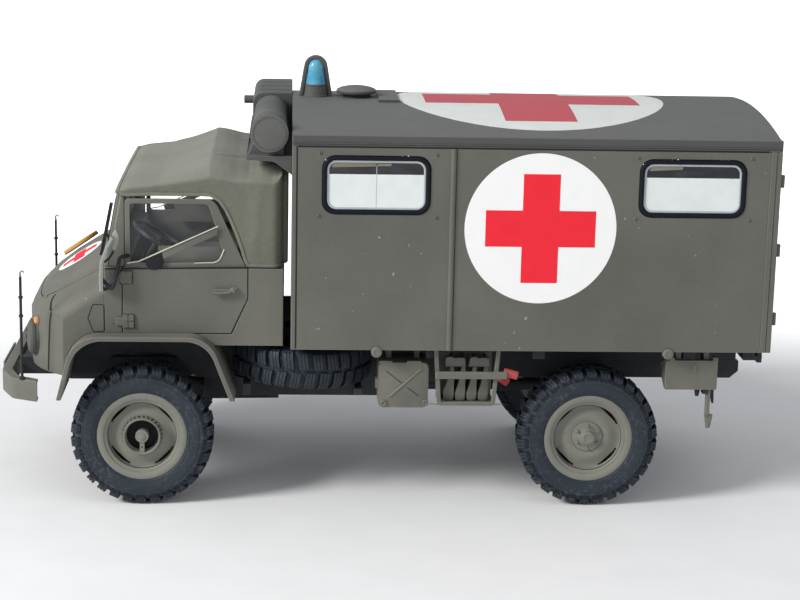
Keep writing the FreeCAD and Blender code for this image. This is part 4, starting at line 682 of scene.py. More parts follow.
def plain(name, colour, rough=0.5, vary=0.12, scale=300, **sockets):
    """Even coloured part with a slight variation of tone and gloss."""
    finish = Finish(name, **sockets)
    patch = finish.range(finish.noise(scale, 3), 0.35, 0.65)
    colour = shade(*colour)
    darker = tuple(c * (1 - vary) for c in colour[:3]) + (1.0,)
    finish.bump(finish.noise(scale * 6, 2), 0.12, 0.00002)
    return finish.done(finish.mix(patch, darker, colour), finish.range(patch, 0, 1, rough - 0.05, rough + 0.05))


def rubber_finish():
    """Tyre rubber with grey dust caught on the lugs and walls."""
    finish = Finish("tyre_rubber", Specular_IOR_Level=0.4)
    patch = finish.range(finish.noise(170, 4), 0.35, 0.65)
    base = finish.mix(patch, shade(34, 41, 50), shade(44, 52, 62))
    grit = finish.maths("MULTIPLY", finish.range(finish.noise(1400, 4), 0.52, 0.7),
                        finish.range(finish.noise(120, 2), 0.4, 0.6, 0.25, 1.0))
    colour = finish.mix(finish.maths("MULTIPLY", grit, 0.26), base, shade(120, 126, 130))
    finish.bump(finish.noise(1500, 4), 0.35, 0.00006)
    return finish.done(colour, finish.range(patch, 0, 1, 0.6, 0.78))


def canvas_finish(name, light, dark, top):
    """Painted canvas: plain weave and soft patches, with a lighter colour on what faces up that is a painted highlight
    for the light falling on top.
    """
    finish = Finish(name, Specular_IOR_Level=0.2, Sheen_Weight=0.08, Sheen_Roughness=0.6)
    terms = {"Scale": 900, "Distortion": 1.2, "Vector": finish.place}
    warp, weft = (finish.node("ShaderNodeTexWave", terms, wave_type="BANDS", bands_direction=way) for way in "XY")
    weave = finish.maths("ADD", warp.outputs["Fac"], weft.outputs["Fac"])
    broad = finish.range(finish.noise(85, 4), 0.36, 0.64)
    fine = finish.range(finish.noise(1100, 3), 0.3, 0.7)
    share = finish.maths("MULTIPLY_ADD", fine, 0.4, finish.maths("MULTIPLY", broad, 0.6))
    colour = finish.mix(share, shade(*dark), shade(*light))
    # What faces up takes the lighter top colour: a painted highlight for the light falling on top.
    lit_top_share = finish.range(finish.facing_up(), 0.35, 0.95, 0.0, 0.9)
    colour = finish.mix(lit_top_share, colour, finish.mix(share, shade(126, 127, 117), shade(*top)))
    finish.bump(finish.maths("MULTIPLY_ADD", weave, 0.5, fine), 0.3, 0.00005)
    return finish.done(colour, 0.86)


def glass_finish(name, tint, alpha):
    """Styrene pane with faint smears."""
    finish = Finish(name, Alpha=alpha, Specular_IOR_Level=0.6)
    smear = finish.range(finish.noise(220, 4, (1, 1, 3)), 0.4, 0.7)
    tint = shade(*tint)
    lighter = tuple(min(1.0, c * 1.5 + 0.02) for c in tint[:3]) + (1.0,)
    return finish.done(finish.mix(smear, tint, lighter), finish.range(smear, 0, 1, 0.05, 0.17))


def dome_finish():
    """Clear blue plastic of the beacon."""
    finish = Finish("beacon_blue", Transmission_Weight=0.3, IOR=1.4)
    patch = finish.range(finish.noise(500, 2), 0.35, 0.65)
    colour = finish.mix(patch, shade(84, 176, 214), shade(124, 206, 236))
    return finish.done(colour, finish.range(patch, 0, 1, 0.08, 0.16))


OLIVE = painted("olive_paint", (109, 109, 100), (95, 95, 88), chips=0.6)
OLIVE_EDGE = painted("olive_paint_worn_edge", (122, 122, 113), (108, 108, 100), dust=0.1)
# The box paint is the olive darkened a little: painted shade for the weaker light on the box walls.
BOX_SHADED = painted("box_paint_shaded", (103, 103, 95), (90, 90, 83), chips=0.5)
BOX_SHADED_EDGE = painted("box_paint_shaded_worn_edge", (116, 116, 108), (104, 104, 97), dust=0.1)
BOX_SHADED_PAINT = [BOX_SHADED, BOX_SHADED_EDGE]
# Roof paint: its darker colour on upright faces such as the rails is painted shade, and its lighter top colour on what
# faces up is a painted highlight.
ROOF = painted("roof_paint", (82, 82, 79), (74, 74, 72), dust=0.05, rough=0.7, top=(104, 106, 104))
ROOF_EDGE = painted("roof_paint_worn_edge", (104, 104, 101), (90, 90, 88), dust=0.06)
GEAR = painted("heater_paint", (90, 92, 89), (76, 78, 76), dust=0.1)
GEAR_EDGE = painted("heater_paint_worn_edge", (100, 101, 97), (88, 89, 86), dust=0.1)
# Dark underbody paint: painted shade for the body-coloured chassis and floor seen in the shade under the truck.
UNDERBODY_SHADE = painted("underbody_shade_paint", (42, 45, 50), (30, 33, 38), dust=0.05, rough=0.66)
UNDERBODY_SHADE_EDGE = painted("underbody_shade_paint_worn_edge", (60, 63, 66), (46, 49, 53), dust=0.08, rough=0.66)
WHEEL = painted("wheel_paint", (130, 131, 122), (116, 117, 109), dust=0.2, rough=0.66)
BLACK = painted("black_paint", (40, 42, 47), (28, 30, 35), dust=0.06, rough=0.5)
SEAM = plain("joint_shadow", (24, 25, 27), rough=0.85)
RUBBER = plain("window_rubber", (14, 18, 28), rough=0.6, Specular_IOR_Level=0.2)
TYRE = rubber_finish()
# The last colour of each canvas finish is the lighter one for what faces up, a painted highlight.
CANVAS = canvas_finish("canvas_cloth", (114, 115, 103), (99, 100, 89), (140, 140, 129))
# Lighter hem colour; laid along the shoulder crease it is a painted highlight.
CANVAS_HEM_AND_HIGHLIGHT = canvas_finish("canvas_hem_and_highlight", (122, 123, 111), (108, 109, 98), (146, 146, 134))
# Near-black lining: painted shade on the inner face of the canvas.
LINING_SHADE = canvas_finish("canvas_lining_shade", (22, 24, 28), (15, 17, 20), (24, 26, 30))
THREAD = plain("canvas_thread", (128, 127, 114), rough=0.8)
SEAT = canvas_finish("seat_cover", (62, 62, 58), (48, 48, 46), (70, 70, 66))
CLEAR = glass_finish("clear_pane", (150, 156, 160), 0.05)
# Near-black opaque pane: painted shade for the unlit inside of the box, seen through the upper strip of each window.
INTERIOR_SHADE = glass_finish("box_pane_interior_shade", (6, 10, 18), 1.0)
FROSTED = plain("frosted_pane", (236, 240, 238), rough=0.45, vary=0.06, Subsurface_Weight=0.1)
# Pale cream: painted highlight along the door stay and the window corner.
STAY_HIGHLIGHT = plain("stay_painted_highlight", (208, 205, 188), rough=0.35, vary=0.2)
PANE_EDGE = plain("pane_edge", (176, 184, 188), rough=0.35, vary=0.1)
WHITE = plain("white_marking", (245, 245, 243), rough=0.55, vary=0.02)
RED = plain("red_marking", (242, 40, 56), rough=0.5, vary=0.05, Specular_IOR_Level=0.25)
# Roof copies of the marking colours: the white darkened as painted shade, the red darkened and greyed as painted shade
# and sheen, for the weaker light on the roof.
ROOF_WHITE_SHADED = plain("roof_white_marking_shaded", (228, 231, 227), rough=0.6, vary=0.05)
ROOF_RED_SHADE_AND_SHEEN = plain("roof_red_marking_shade_and_sheen", (200, 84, 92), rough=0.6, vary=0.06)
AMBER = plain("amber_plate", (214, 168, 88), rough=0.5, vary=0.25)
# Dark brown: painted shade under the edge of the amber plate.
AMBER_SHADE = plain("amber_plate_shade", (92, 68, 40), rough=0.6)
ORANGE = plain("orange_lens", (240, 140, 40), rough=0.25, Coat_Weight=0.6)
RED_LENS = plain("red_lens", (170, 26, 28), rough=0.25, Coat_Weight=0.6)
RED_TANK = painted("red_cylinder_paint", (184, 70, 68), (158, 54, 54), dust=0.15, rough=0.5)
PALE = painted("bare_plastic", (160, 162, 156), (138, 140, 135), dust=0.1, rough=0.45)
STEEL = plain("bright_steel", (150, 150, 146), rough=0.38, Metallic=0.85)
CURTAIN = plain("window_blind", (128, 124, 108), rough=0.8)
MIRROR_GLASS = plain("mirror_face", (196, 202, 204), rough=0.12, Metallic=0.9)
DOME = dome_finish()
LAMP = plain("lamp_reflector", (214, 218, 216), rough=0.2, Metallic=0.9)
BARE = [OLIVE, OLIVE_EDGE]
UNDERNEATH = [UNDERBODY_SHADE, UNDERBODY_SHADE_EDGE]


# --- Wheels ---
LUGS = 30
TREAD_FLOOR = TYRE_RADIUS - 0.78
RIM_SIDES = 96
SLOT_HALF_ANGLE = 24.0


def tread_lug():
    """One block of the tread on the outer half and its neighbour on the inner half, half a pitch on."""
    lug = Stock()
    crown = TYRE_RADIUS - 0.04
    outline = [(TREAD_FLOOR - 0.4, 0.38), (crown - 0.06, 0.38), (crown, 1.3), (crown - 0.05, 2.5),
               (crown - 0.36, 3.12), (crown - 1.15, 3.52), (crown - 1.8, 3.6), (crown - 1.95, 3.3)]
    foot = [(TREAD_FLOOR - 0.4, 0.3)] + [(r - 0.28, y) for r, y in outline[1:5]] + outline[5:]
    for shape, start, width in ((foot, -0.86, 1.72), (outline, -0.86, 0.5), (outline, -0.25, 0.5),
                                (outline, 0.36, 0.5)):
        lug.plate(shape, lambda p, z=start: Vector((p[0], p[1], z + 0.16 * (p[1] - 1.9))), (0, 0, width))
    row = lug.to_mesh("lug_row")
    both = Stock()
    both.add(row)
    both.add(row, Matrix.Rotation(math.pi / LUGS, 4, "Y") @ Matrix.Scale(-1, 4, (0, 1, 0)))
    return both


def tyre_mesh():
    """Carcass with ringed sidewalls and two staggered rows of lugs."""
    wall = [(7.5, 0.0), (7.5, 2.55), (7.9, 2.75), (8.25, 3.02), (8.5, 3.3), (8.75, 3.42), (8.84, 3.36), (8.95, 3.44),
            (9.4, 3.54), (10.1, 3.6), (10.62, 3.58), (10.7, 3.51), (10.8, 3.55), (11.3, 3.48), (11.9, 3.2),
            (12.2, 2.8), (TREAD_FLOOR, 2.2), (TREAD_FLOOR, 0.0)]
    tyre = Stock()
    tyre.turned(wall + [(r, -y) for r, y in wall[-2:0:-1]], sides=90, closed=True)
    tyre.add(grown("round", tread_lug(), Count=LUGS, Start=math.pi / 2, Finish=TYRE))
    return tyre.to_mesh("tyre")


def slot_radius(angle):
    """Inner edge of the crescent slots at an angle: a chord inside a slot, an even circle elsewhere."""
    off = abs(angle % 90 - 45)
    return min(6.22, 5.62 / math.cos(math.radians(off))), off <= SLOT_HALF_ANGLE


def wheel_disc(wheel, hole):
    """Pressed disc with four crescent slots, one wall thick."""
    profile = [(8.2, 2.9), (8.14, 3.02), (7.98, 3.07), (7.3, 3.02), (7.16, 2.96), (7.1, 2.7), (7.02, 2.66),
               (6.94, 2.72), (6.62, 2.66), (6.5, 2.5), (6.42, 1.75), (6.34, 1.45), None, (5.3, 1.36), (4.7, 1.56),
               (4.1, 1.78), (3.7, 1.82), (3.35, 1.74), (hole, 1.7)]
    disc = Stock()
    rows = []
    for level in profile:
        row = []
        for i in range(RIM_SIDES):
            angle = 360 * i / RIM_SIDES
            radius, y = level or (min(slot_radius(angle)[0], 5.9), 1.3)
            turn = math.radians(angle)
            row.append(disc.mesh.verts.new((radius * math.cos(turn), y, radius * math.sin(turn))))
        rows.append(row)
    cut = profile.index(None)
    for k, (a, b) in enumerate(zip(rows, rows[1:])):
        for i in range(RIM_SIDES):
            j = (i + 1) % RIM_SIDES
            halfway = 360 * (i + 0.5) / RIM_SIDES
            if k == cut - 1 and slot_radius(halfway)[1]:
                continue
            disc.mesh.faces.new((a[i], a[j], b[j], b[i]))
    wheel.add(walled(disc.to_mesh("disc"), DISC_WALL, 0.0))


def wheel_barrel(wheel):
    """Barrel between the two flanges."""
    half = [(8.2, 2.9), (8.05, 2.74), (7.65, 2.55), (7.45, 2.3), (7.45, -2.3), (7.65, -2.55), (8.05, -2.74),
            (8.2, -2.9), (8.05, -3.04), (7.8, -3.0), (7.1, -2.5), (7.0, -1.2), (6.72, -0.8), (6.72, 0.9), (6.85, 1.6),
            (6.9, 2.6), (7.3, 2.86)]
    wheel.turned(half, sides=RIM_SIDES, closed=True)


def hexagon_nut(radius, height):
    """Nut with a stud end, standing on the XZ plane at the origin."""
    nut = Stock()
    nut.turned([(radius, 0), (radius, 0.8 * height), (0.8 * radius, height), (0, height)], sides=6)
    nut.turned([(0.48 * radius, height - 0.01), (0.48 * radius, 1.45 * height), (0.3 * radius, 1.6 * height),
                (0, 1.6 * height)], sides=8)
    return nut


def rim_mesh(hub):
    """Rim with the open ring hub of the front, the nut plate of the rear, or the bare disc of the spare."""
    wheel = Stock()
    wheel_barrel(wheel)
    # In the joint shadow finish: dark rings in the two grooves and a dark disc behind the slots, all painted shade.
    wheel.finish = 1
    for outer, top in ((7.05, 2.76), (6.4, 2.5)):
        inner, foot = outer - 0.13, top - 0.2
        wheel.turned([(outer, foot), (outer, top), (inner, top), (inner, foot)], sides=RIM_SIDES, closed=True)
    if hub != "bare":
        wheel.turned([(6.66, 0.2), (6.66, 0.34), (3.2, 0.34), (3.2, 0.2)], sides=RIM_SIDES, closed=True)
    wheel.finish = 0
    wheel_disc(wheel, 1.9 if hub == "bare" else 2.95)
    if hub == "ring":
        wheel.turned([(3.42, 1.5), (3.42, 3.25), (3.36, 3.38), (3.2, 3.38), (3.14, 3.25), (3.14, 0.9)], closed=True)
        rib = Stock()
        rib.block((3.3, 1.6, -0.13), (3.72, 2.7, 0.13))
        wheel.add(grown("round", rib, Count=28, Start=0.0, Finish=WHEEL))
        wheel.turned([(3.16, 0.95), (3.16, 0.7), (0, 0.7), (0, 0.95)])
        wheel.turned([(1.22, 0.9), (1.22, 3.1), (1.12, 3.22), (0, 3.25)], sides=28)
        wheel.turned([(0.62, 3.2), (0.62, 3.36), (0.5, 3.4), (0, 3.4)], sides=20)
        wheel.block((-0.42, 0.9, -3.2), (0.42, 3.0, -1.0))
        # The floor of the hub recess in the joint shadow finish is painted shade; the small dot on the lug is dark too.
        wheel.finish = 1
        wheel.turned([(3.13, 1.04), (3.13, 0.9), (1.2, 0.9), (1.2, 1.04)], closed=True)
        wheel.turned([(0.16, 3.01), (0.16, 3.03), (0, 3.03)], (0, 0, -2.1), sides=10)
    elif hub == "plate":
        # A thin dark disc under the nut plate: painted shade in the groove round it.
        wheel.finish = 1
        wheel.turned([(3.02, 1.62), (3.02, 1.66), (0, 1.66), (0, 1.62)])
        wheel.finish = 0
        wheel.turned([(2.86, 1.4), (2.86, 1.9), (2.74, 2.02), (1.7, 2.05), (1.45, 2.2), (1.3, 2.35), (1.28, 3.0),
                      (1.16, 3.16), (0.75, 3.24), (0.7, 3.16), (0, 3.16)], sides=40)
        nut = hexagon_nut(0.33, 0.36).to_mesh("nut")
        nut.transform(Matrix.Translation((2.2, 2.02, 0)))
        wheel.add(grown("round", nut, Count=6, Start=math.pi / 6, Finish=WHEEL))
    else:
        stud = Stock()
        stud.turned([(0.3, 1.5), (0.3, 1.86), (0.2, 1.9), (0, 1.9)], (2.55, 0, 0), sides=10)
        wheel.add(grown("round", stud, Count=6, Start=0.0, Finish=WHEEL))
    return wheel.to_mesh(hub + "_rim")


def place_wheels():
    """Four wheels on their axles, the right ones turned about, and the spare lying on its side."""
    wheels = []
    for end, rim in (("front", rim_mesh("ring")), ("rear", rim_mesh("plate"))):
        for side, turn in (("left", 0), ("right", 180)):
            name = f"{end}_{side}"
            place = Matrix.Translation(middle(name + "_tyre")) @ turned_by(turn, "Z")
            wheels.append((name, rim, place, WHEEL, name + "_wheel"))
    lying = Matrix.Translation(middle("spare_tyre")) @ turned_by(-2.5, "Y") @ turned_by(90, "X")
    wheels.append(("spare", rim_mesh("bare"), lying, UNDERBODY_SHADE, "truck"))
    tyre = tyre_mesh()
    for name, rim, place, paint, body in wheels:
        for kind, mesh, finishes in (("tyre", tyre, TYRE), ("rim", rim, [paint, SEAM])):
            made = Stock()
            made.mesh.from_mesh(mesh)
            made.mesh.transform(place)
            piece(f"{name}_{kind}_finished", made, finishes, [f"{name}_{kind}"], body=body)


# --- Running gear and chassis ---
def running_gear():
    """Chassis parts in one dark paint, painted shade for the body-coloured chassis under the truck, with the coil
    springs and dampers.
    """
    for node in ("front_axle", "rear_axle", "engine", "gearbox", "left_frame_rail", "right_frame_rail",
                 "frame_crossmembers", "box_subframe", "exhaust"):
        eased(node, UNDERNEATH, 0.1)
    eased("front_knuckles", UNDERNEATH, 0.08)
    rail_y = middle("left_frame_rail").y
    foot, height = low_high("suspension")[1].z - 5.8, 3.4
    springs = Stock()
    coil = grown("coil", Stock(), Turns=3.6, Radius=1.52, Height=height - 0.5, Wire=0.34, Finish=BLACK)
    for axle in (FRONT_WHEEL.x, REAR_WHEEL.x):
        springs.finish = 1
        springs.add(coil, Matrix.Translation((axle, rail_y, foot + 0.25)))
        springs.finish = 0
        for level in (foot - 0.1, foot + height - 0.3):
            springs.turned([(2.05, level), (2.05, level + 0.3), (1.7, level + 0.42), (0, level + 0.42)],
                           (axle, rail_y, 0), "Z", 24)
        lower, upper = Vector((axle - 2.35, rail_y + 2.1, foot - 1.6)), Vector((axle - 3.95, rail_y + 1.65, foot + 5.4))
        middle_place = lower.lerp(upper, 0.5)
        springs.finish = 1
        springs.tube([lower, middle_place], 0.72, 14)
        springs.tube([middle_place, upper], 0.5, 14)
        springs.finish = 0
        for place in (lower, upper):
            springs.tube([place + Vector((0, -0.6, 0)), place + Vector((0, 0.6, 0))], 0.6, 14)
    springs.mirror()
    piece("springs_and_dampers", springs, [UNDERBODY_SHADE, BLACK], ["suspension"])


# --- Bumper, poles and mudguards ---
def bumper_and_poles():
    """Bumper with its two marker poles, each bent over at the tip."""
    eased("front_bumper", BARE, 0.14)
    low, high = low_high("marker_poles")
    bumper_top = low_high("front_bumper")[1].z
    poles = Stock()
    pole_y, pole_x = high.y - 0.48, (low.x + high.x) / 2
    foot, tip = Vector((pole_x, pole_y, bumper_top)), Vector((pole_x - 0.05, pole_y, high.z - 0.2))
    poles.tube([foot, foot.lerp(tip, 0.5), tip], 0.26, 10)
    for share in (0.62, 0.8):
        poles.turned([(0.1, -0.3), (0.42, -0.2), (0.42, 0.2), (0.1, 0.3)], foot.lerp(tip, share), "Z", 12)
    poles.turned([(0.55, 0), (0.55, 0.35), (0.34, 0.5), (0, 0.5)], foot, "Z", 14)
    poles.finish = 1
    steps = (0, 0), (0.1, 0.75), (-0.45, 1.15), (-0.72, 0.6)
    curl = bent([tip + Vector((x, 0, z)) for x, z in steps], 0.4, 4)
    poles.tube(curl, [0.24 - 0.012 * i for i in range(len(curl))], 10)
    poles.mirror()
    piece("marker_poles_finished", poles, [BLACK, PALE], ["marker_poles"])


def mudguards():
    """Mudguards, the dark inner arches and sill plates behind the wheels, and the inner door trims; the dark plates
    paint the shade seen through the arches and under the box.
    """
    for node in ("left_mudguard", "right_mudguard"):
        eased(node, BARE, 0.16)
    arch = rounded([(25.0, 24.9), (30.0, 22.0, 1), (34.5, 22.0, 1), (38.5, 26.6, 4), (50.0, 26.6, 4),
                    (53.8, 22.4, 1), (58.4, 22.4, 1), (58.4, 32.4), (25.0, 32.4)], 5)
    sill = [(-28.0, 24.3), (-15.0, 20.6), (8.0, 20.6), (14.0, 24.3), (25.2, 24.3), (25.2, 30.9), (-28.0, 30.9)]
    plates = Stock()
    # Dark plates where only shade is seen: painted shade in the arches and under the box.
    for side in SIDES:
        plates.side_plate(arch, side * 16.7, 0.25, 0.06)
        plates.side_plate(sill, side * 13.1, 0.25, 0.06)
    plates.finish = 1
    for side in SIDES:
        plates.side_plate(rectangle(26.0, 44.0, 41.0, 48.6), side * 23.8, 0.9, 0.06)
    piece("inner_arches", plates, [UNDERBODY_SHADE, OLIVE], slot="olive_paint")


# --- Nose ---
HOOD_CROSS = Vector((57.3, 4.9, 42.8))
HOOD_SLOPE = math.radians(37)
HOOD_LOOK = Vector((-math.sin(HOOD_SLOPE), 0, -math.cos(HOOD_SLOPE)))
HOOD_ALONG = Vector((math.cos(HOOD_SLOPE), 0, -math.sin(HOOD_SLOPE)))


def disc_cells(centre, along, across, radius, rings):
    """Cells of a disc given by a centre and two directions."""
    sides = 48

    def at(r, k):
        turn = math.tau * k / sides
        return centre + (along * math.cos(turn) + across * math.sin(turn)) * r
    cells = [[centre, at(radius / rings, k), at(radius / rings, k + 1)] for k in range(sides)]
    for ring in range(1, rings):
        inner, outer = radius * ring / rings, radius * (ring + 1) / rings
        cells += [[at(inner, k), at(outer, k), at(outer, k + 1), at(inner, k + 1)] for k in range(sides)]
    return cells


def cross_cells(centre, along, across, extent, arm):
    """Cells of an upright cross: arm squares split into small steps."""
    steps = 5
    marks = [-extent / 2 + (extent - arm) / 2 * k / steps for k in range(steps)]
    marks += [-arm / 2 + arm * k / steps for k in range(steps)]
    marks += [arm / 2 + (extent - arm) / 2 * k / steps for k in range(steps + 1)]
    cells = []
    for u0, u1 in zip(marks, marks[1:]):
        for v0, v1 in zip(marks, marks[1:]):
            if abs(u0 + u1) / 2 < arm / 2 or abs(v0 + v1) / 2 < arm / 2:
                cells.append([centre + along * u + across * v for u, v in ((u0, v0), (u1, v0), (u1, v1), (u0, v1))])
    return cells


def flat_marking(name, side, x, z, radius, extent, arm):
    """White disc with a red cross painted on a flat side of the box."""
    disc = Stock()
    disc.boss([(radius, -0.05), (radius, 0.03), (0, 0.03)], (x, side * BOX_FACE, z), side, 96)
    piece(name + "_disc", disc, WHITE, slot="roof_paint", sharp=60)
    far, near = extent / 2, arm / 2
    corners = [(-near, -far), (near, -far), (near, -near), (far, -near), (far, near), (near, near), (near, far),
               (-near, far), (-near, near), (-far, near), (-far, -near), (-near, -near)]
    cross = Stock()
    cross.side_plate([(x + u, z + v) for u, v in corners], side * (BOX_FACE - 0.02), 0.08)
    piece(name + "_cross", cross, RED, slot="red_paint", sharp=60)


def marking(name, skin, centre, along, across, look, radius, extent, arm, rings, white=WHITE, red=RED):
    """White disc film with a red cross film on it."""
    disc = Stock()
    skin.film(disc, disc_cells(centre, along, across, radius, rings), look, 0.03)
    piece(name + "_disc", disc, white, slot="roof_paint", sharp=60)
    cross = Stock()
    skin.film(cross, cross_cells(centre, along, across, extent, arm), look, 0.055)
    piece(name + "_cross", cross, red, slot="red_paint", sharp=60)


def nose_panel():
    eased("nose", [OLIVE, OLIVE], 0.14, limit=38)
    skin = Skin("nose")
    lines = Stock()
    for side in SIDES:
        wing = [(58.9, 40.2), (59.35, 39.7), (59.95, 38.6), (60.45, 37.0), (60.8, 34.2), (61.0, 30.0), (61.15, 25.2)]
        slant = Vector((0.25, -side, -0.35))
        skin.line(lines, [(x, side * 24.5, z) for x, z in wing], slant, seam(0.42, 0.035), 0.35)
        lid = bent([(51.4, side * 19.9, 43.6), (57.9, side * 18.9, 39.9), (61.2, side * 17.3, 38.0),
                    (63.0, side * 15.6, 37.0), (63.9, side * 12.0, 36.8), (64.25, side * 6, 37.0),
                    (64.35, 0, 37.1)], 2.0, 6)
        skin.line(lines, lid[8:], (-0.5, -0.1 * side, -0.85), seam(0.18, 0.03), 0.5)
        skin.line(lines, lid[:9], (-0.5, -0.1 * side, -0.85), seam(0.08, 0.015), 0.5)
        flap = rounded([(52.7, 38.25, 0.3), (50.75, 38.2, 0.3), (50.72, 33.25, 0.3), (52.65, 33.15, 0.3),
                        (53.65, 35.7, 0.3)], 3)
        lines.side_line(flap, side * CAB_FACE, seam(0.16, 0.025), True)
    piece("nose_joint_lines", lines, SEAM, slot="olive_paint")
    spine = Stock()
    skin.line(spine, [(51.2, 0, 46.8), (55, 0, 44), (59, 0, 41.6), (63, 0, 38.6)], (0, 0, -1), bead(0.5, 0.12), 0.7)
    piece("hood_spine", spine, OLIVE_EDGE, slot="olive_paint")
    marking("hood", skin, HOOD_CROSS, HOOD_ALONG, Vector((0, 0.8, 0)), HOOD_LOOK,
            radius=4.9, extent=7.6, arm=2.5, rings=5)
    blank_plate()
    hood_catches(skin)


def blank_plate():
    """Round blank plate lying on the hood on a darker foot ring, painted shade under the plate's edge."""
    plate = Stock()
    centre = Vector((58.4, -9.0, 42.2))
    lean = (turned_by(34, "Y") @ turned_by(5, "X")).to_3x3()
    plate.turned([(3.9, -0.1), (3.9, 0.5), (3.8, 0.6), (3.2, 0.62), (3.15, 0.56), (0, 0.56)], centre, "Z", 40,
                 lean=lean)
    # The darker foot ring is painted shade under the plate's edge.
    plate.finish = 1
    plate.turned([(3.95, -0.2), (3.95, 0.08), (3.0, 0.08), (3.0, -0.2)], centre, "Z", 40, closed=True, lean=lean)
    piece("hood_plate", plate, [AMBER, AMBER_SHADE], slot="lamp_cover")


def hood_catches(skin):
    """Small catches on the front edge of the lid."""
    catches = Stock()
    for side in SIDES:
        place, normal = skin.meet((62.6, side * 17.2, 37.6), (-0.6, -0.5 * side, -0.6))
        catches.turned([(0.42, -0.05), (0.42, 0.16), (0.3, 0.24), (0, 0.26)], place, "Z", 16, lean=facing(normal))
    piece("hood_catches", catches, STEEL, slot="olive_paint")


def front_lamps():
    """Blackout covers over the headlamps with their upright slits, and the turn signals."""
    low, high = low_high("front_lamps")
    lamps = Stock()
    lean = facing(Vector((1, 0.18, 0)))
    radius = 3.05  # of a headlamp cover in the CAD
    centre = Vector((NOSE_HIGH.x - 1.6, high.y - radius - 0.04, low.z + radius))
    lamps.turned([(3.2, -1.3), (3.2, -0.1), (3.08, 0.1), (3.0, 0.34), (2.6, 0.56), (1.8, 0.74), (0.9, 0.82),
                  (0, 0.84)], centre, "Z", 44, lean=lean)
    lamps.turned([(3.32, -0.5), (3.32, 0.0), (3.2, 0.1), (3.05, 0.1), (3.05, -0.5)], centre, "Z", 44, closed=True,
                 lean=lean)
    lamps.finish = 1
    for level in (1.25, 0.0):
        slot = lean @ Vector((0, 0, 0.8 - 0.05 * level))
        place = centre + slot + Vector((0, 0, level))
        lamps.block((-0.1, -0.26, -0.42), (0.16, 0.26, 0.42), Matrix.Translation(place) @ turned_by(10, "Z"))
    lamps.mirror()
    piece("headlamp_covers", lamps, [GEAR, SEAM], ["front_lamps"])
    signals = Stock()
    skin = Skin("nose")
    for side in SIDES:
        place, normal = skin.meet((63.5, side * 20.7, 33.7), (-1, -0.9 * side, 0))
        turn = facing(normal)
        signals.finish = 0
        signals.turned([(0.72, -0.1), (0.72, 0.3), (0.6, 0.5), (0.35, 0.62), (0, 0.66)], place, "Z", 24, lean=turn)
        signals.finish = 1
        signals.turned([(0.92, -0.1), (0.92, 0.16), (0.84, 0.24), (0.74, 0.24), (0.74, -0.1)], place, "Z", 24,
                       closed=True, lean=turn)
    piece("turn_signals", signals, [ORANGE, OLIVE_EDGE], slot="lamp_cover")
    eased("grille", [BLACK, OLIVE_EDGE], 0.05)


# --- Cab ---
def cab_shell():
    eased("cab_tub", BARE, 0.14)
    eased("windscreen_frame", BARE, 0.14)
    for side, name in ((LEFT, "left"), (RIGHT, "right")):
        eased(name + "_door", BARE, 0.12)
        door_details(side, name)
    glass = frame["nodes"]["cab_windows"]
    glass.data.materials.clear()
    glass.data.materials.append(CLEAR)
    cab_joint_lines()


def door_details(side, name):
    """Two-leaf hinges with a strap, lever handle, window bead and stay of one door."""
    face = side * CAB_FACE
    iron = Stock()
    for x0, x1, z0, z1, strap in ((45.6, 47.6, 42.2, 44.5, False), (45.35, 48.45, 34.05, 36.45, True)):
        centre_z = (z0 + z1) / 2
        for u0, u1 in ((x0, x0 + 0.92), (x0 + 1.08, min(x1, x0 + 2.1))):
            for v0, v1 in ((z0, centre_z - 0.07), (centre_z + 0.07, z1)):
                iron.block((u0, face - side * 0.1, v0), (u1, face + side * 0.42, v1))
        iron.finish = 2
        iron.block((x0 - 0.12, face - side * 0.1, z0 - 0.14), (x0 + 2.22, face + side * 0.06, z1 + 0.06))
        iron.finish = 0
        iron.block((x0 + 0.88, face, z0 + 0.1), (x0 + 1.12, face + side * 0.3, z1 - 0.1))
        if strap:
            iron.block((x0 + 2.2, face - side * 0.05, centre_z - 0.3), (x1, face + side * 0.3, centre_z + 0.5))
            iron.block((x1 - 0.1, face - side * 0.05, centre_z - 0.45),
                       (x1 + 1.1, face + side * 0.14, centre_z - 0.2))
    pivot = Vector((27.35, face, 41.1))
    lever = [pivot + Vector((x, side * y, z)) for x, y, z in
             ((0, 0.75, 0.1), (0.9, 0.95, -0.28), (2.4, 0.95, -0.36), (3.75, 0.9, -0.4))]
    iron.boss([(0.62, -0.1), (0.62, 0.35), (0.5, 0.85), (0.34, 1.02), (0, 1.05)], pivot, side, 20)
    iron.tube(bent(lever, 0.5, 4), 0.3, 10)
    out = side * (CAB_FACE + 0.2)
    iron.finish = 0
    iron.side_plate([(41.6, 47.3), (30.2, 52.6), (30.2, 51.3), (39.9, 46.8), (41.2, 46.3)], out - side * 0.35, 0.3,
                    0.06)
    # Pale line along the stay's upper edge and round the window corner: a painted highlight.
    iron.finish = 1
    iron.tube([(46.4, out, 46.0), (44.3, out, 46.35), (30.1, out, 52.9)], 0.13, 8)
    corner = bent([(29.0, side * 26.72, 48.6), (30.0, side * 26.72, 46.15), (34.4, side * 26.72, 46.0)], 1.5, 6)
    iron.tube(corner, 0.11, 8)
    iron.finish = 2
    iron.side_plate([(43.3, 46.7), (40.2, 48.0), (39.8, 46.2), (40.3, 45.2), (41.2, 44.75), (42.2, 44.8),
                     (43.0, 45.5)], out - side * 0.45, 0.45, 0.06)
    piece(f"{name}_door_fittings", iron, [OLIVE, STAY_HIGHLIGHT, SEAM], slot="olive_paint")


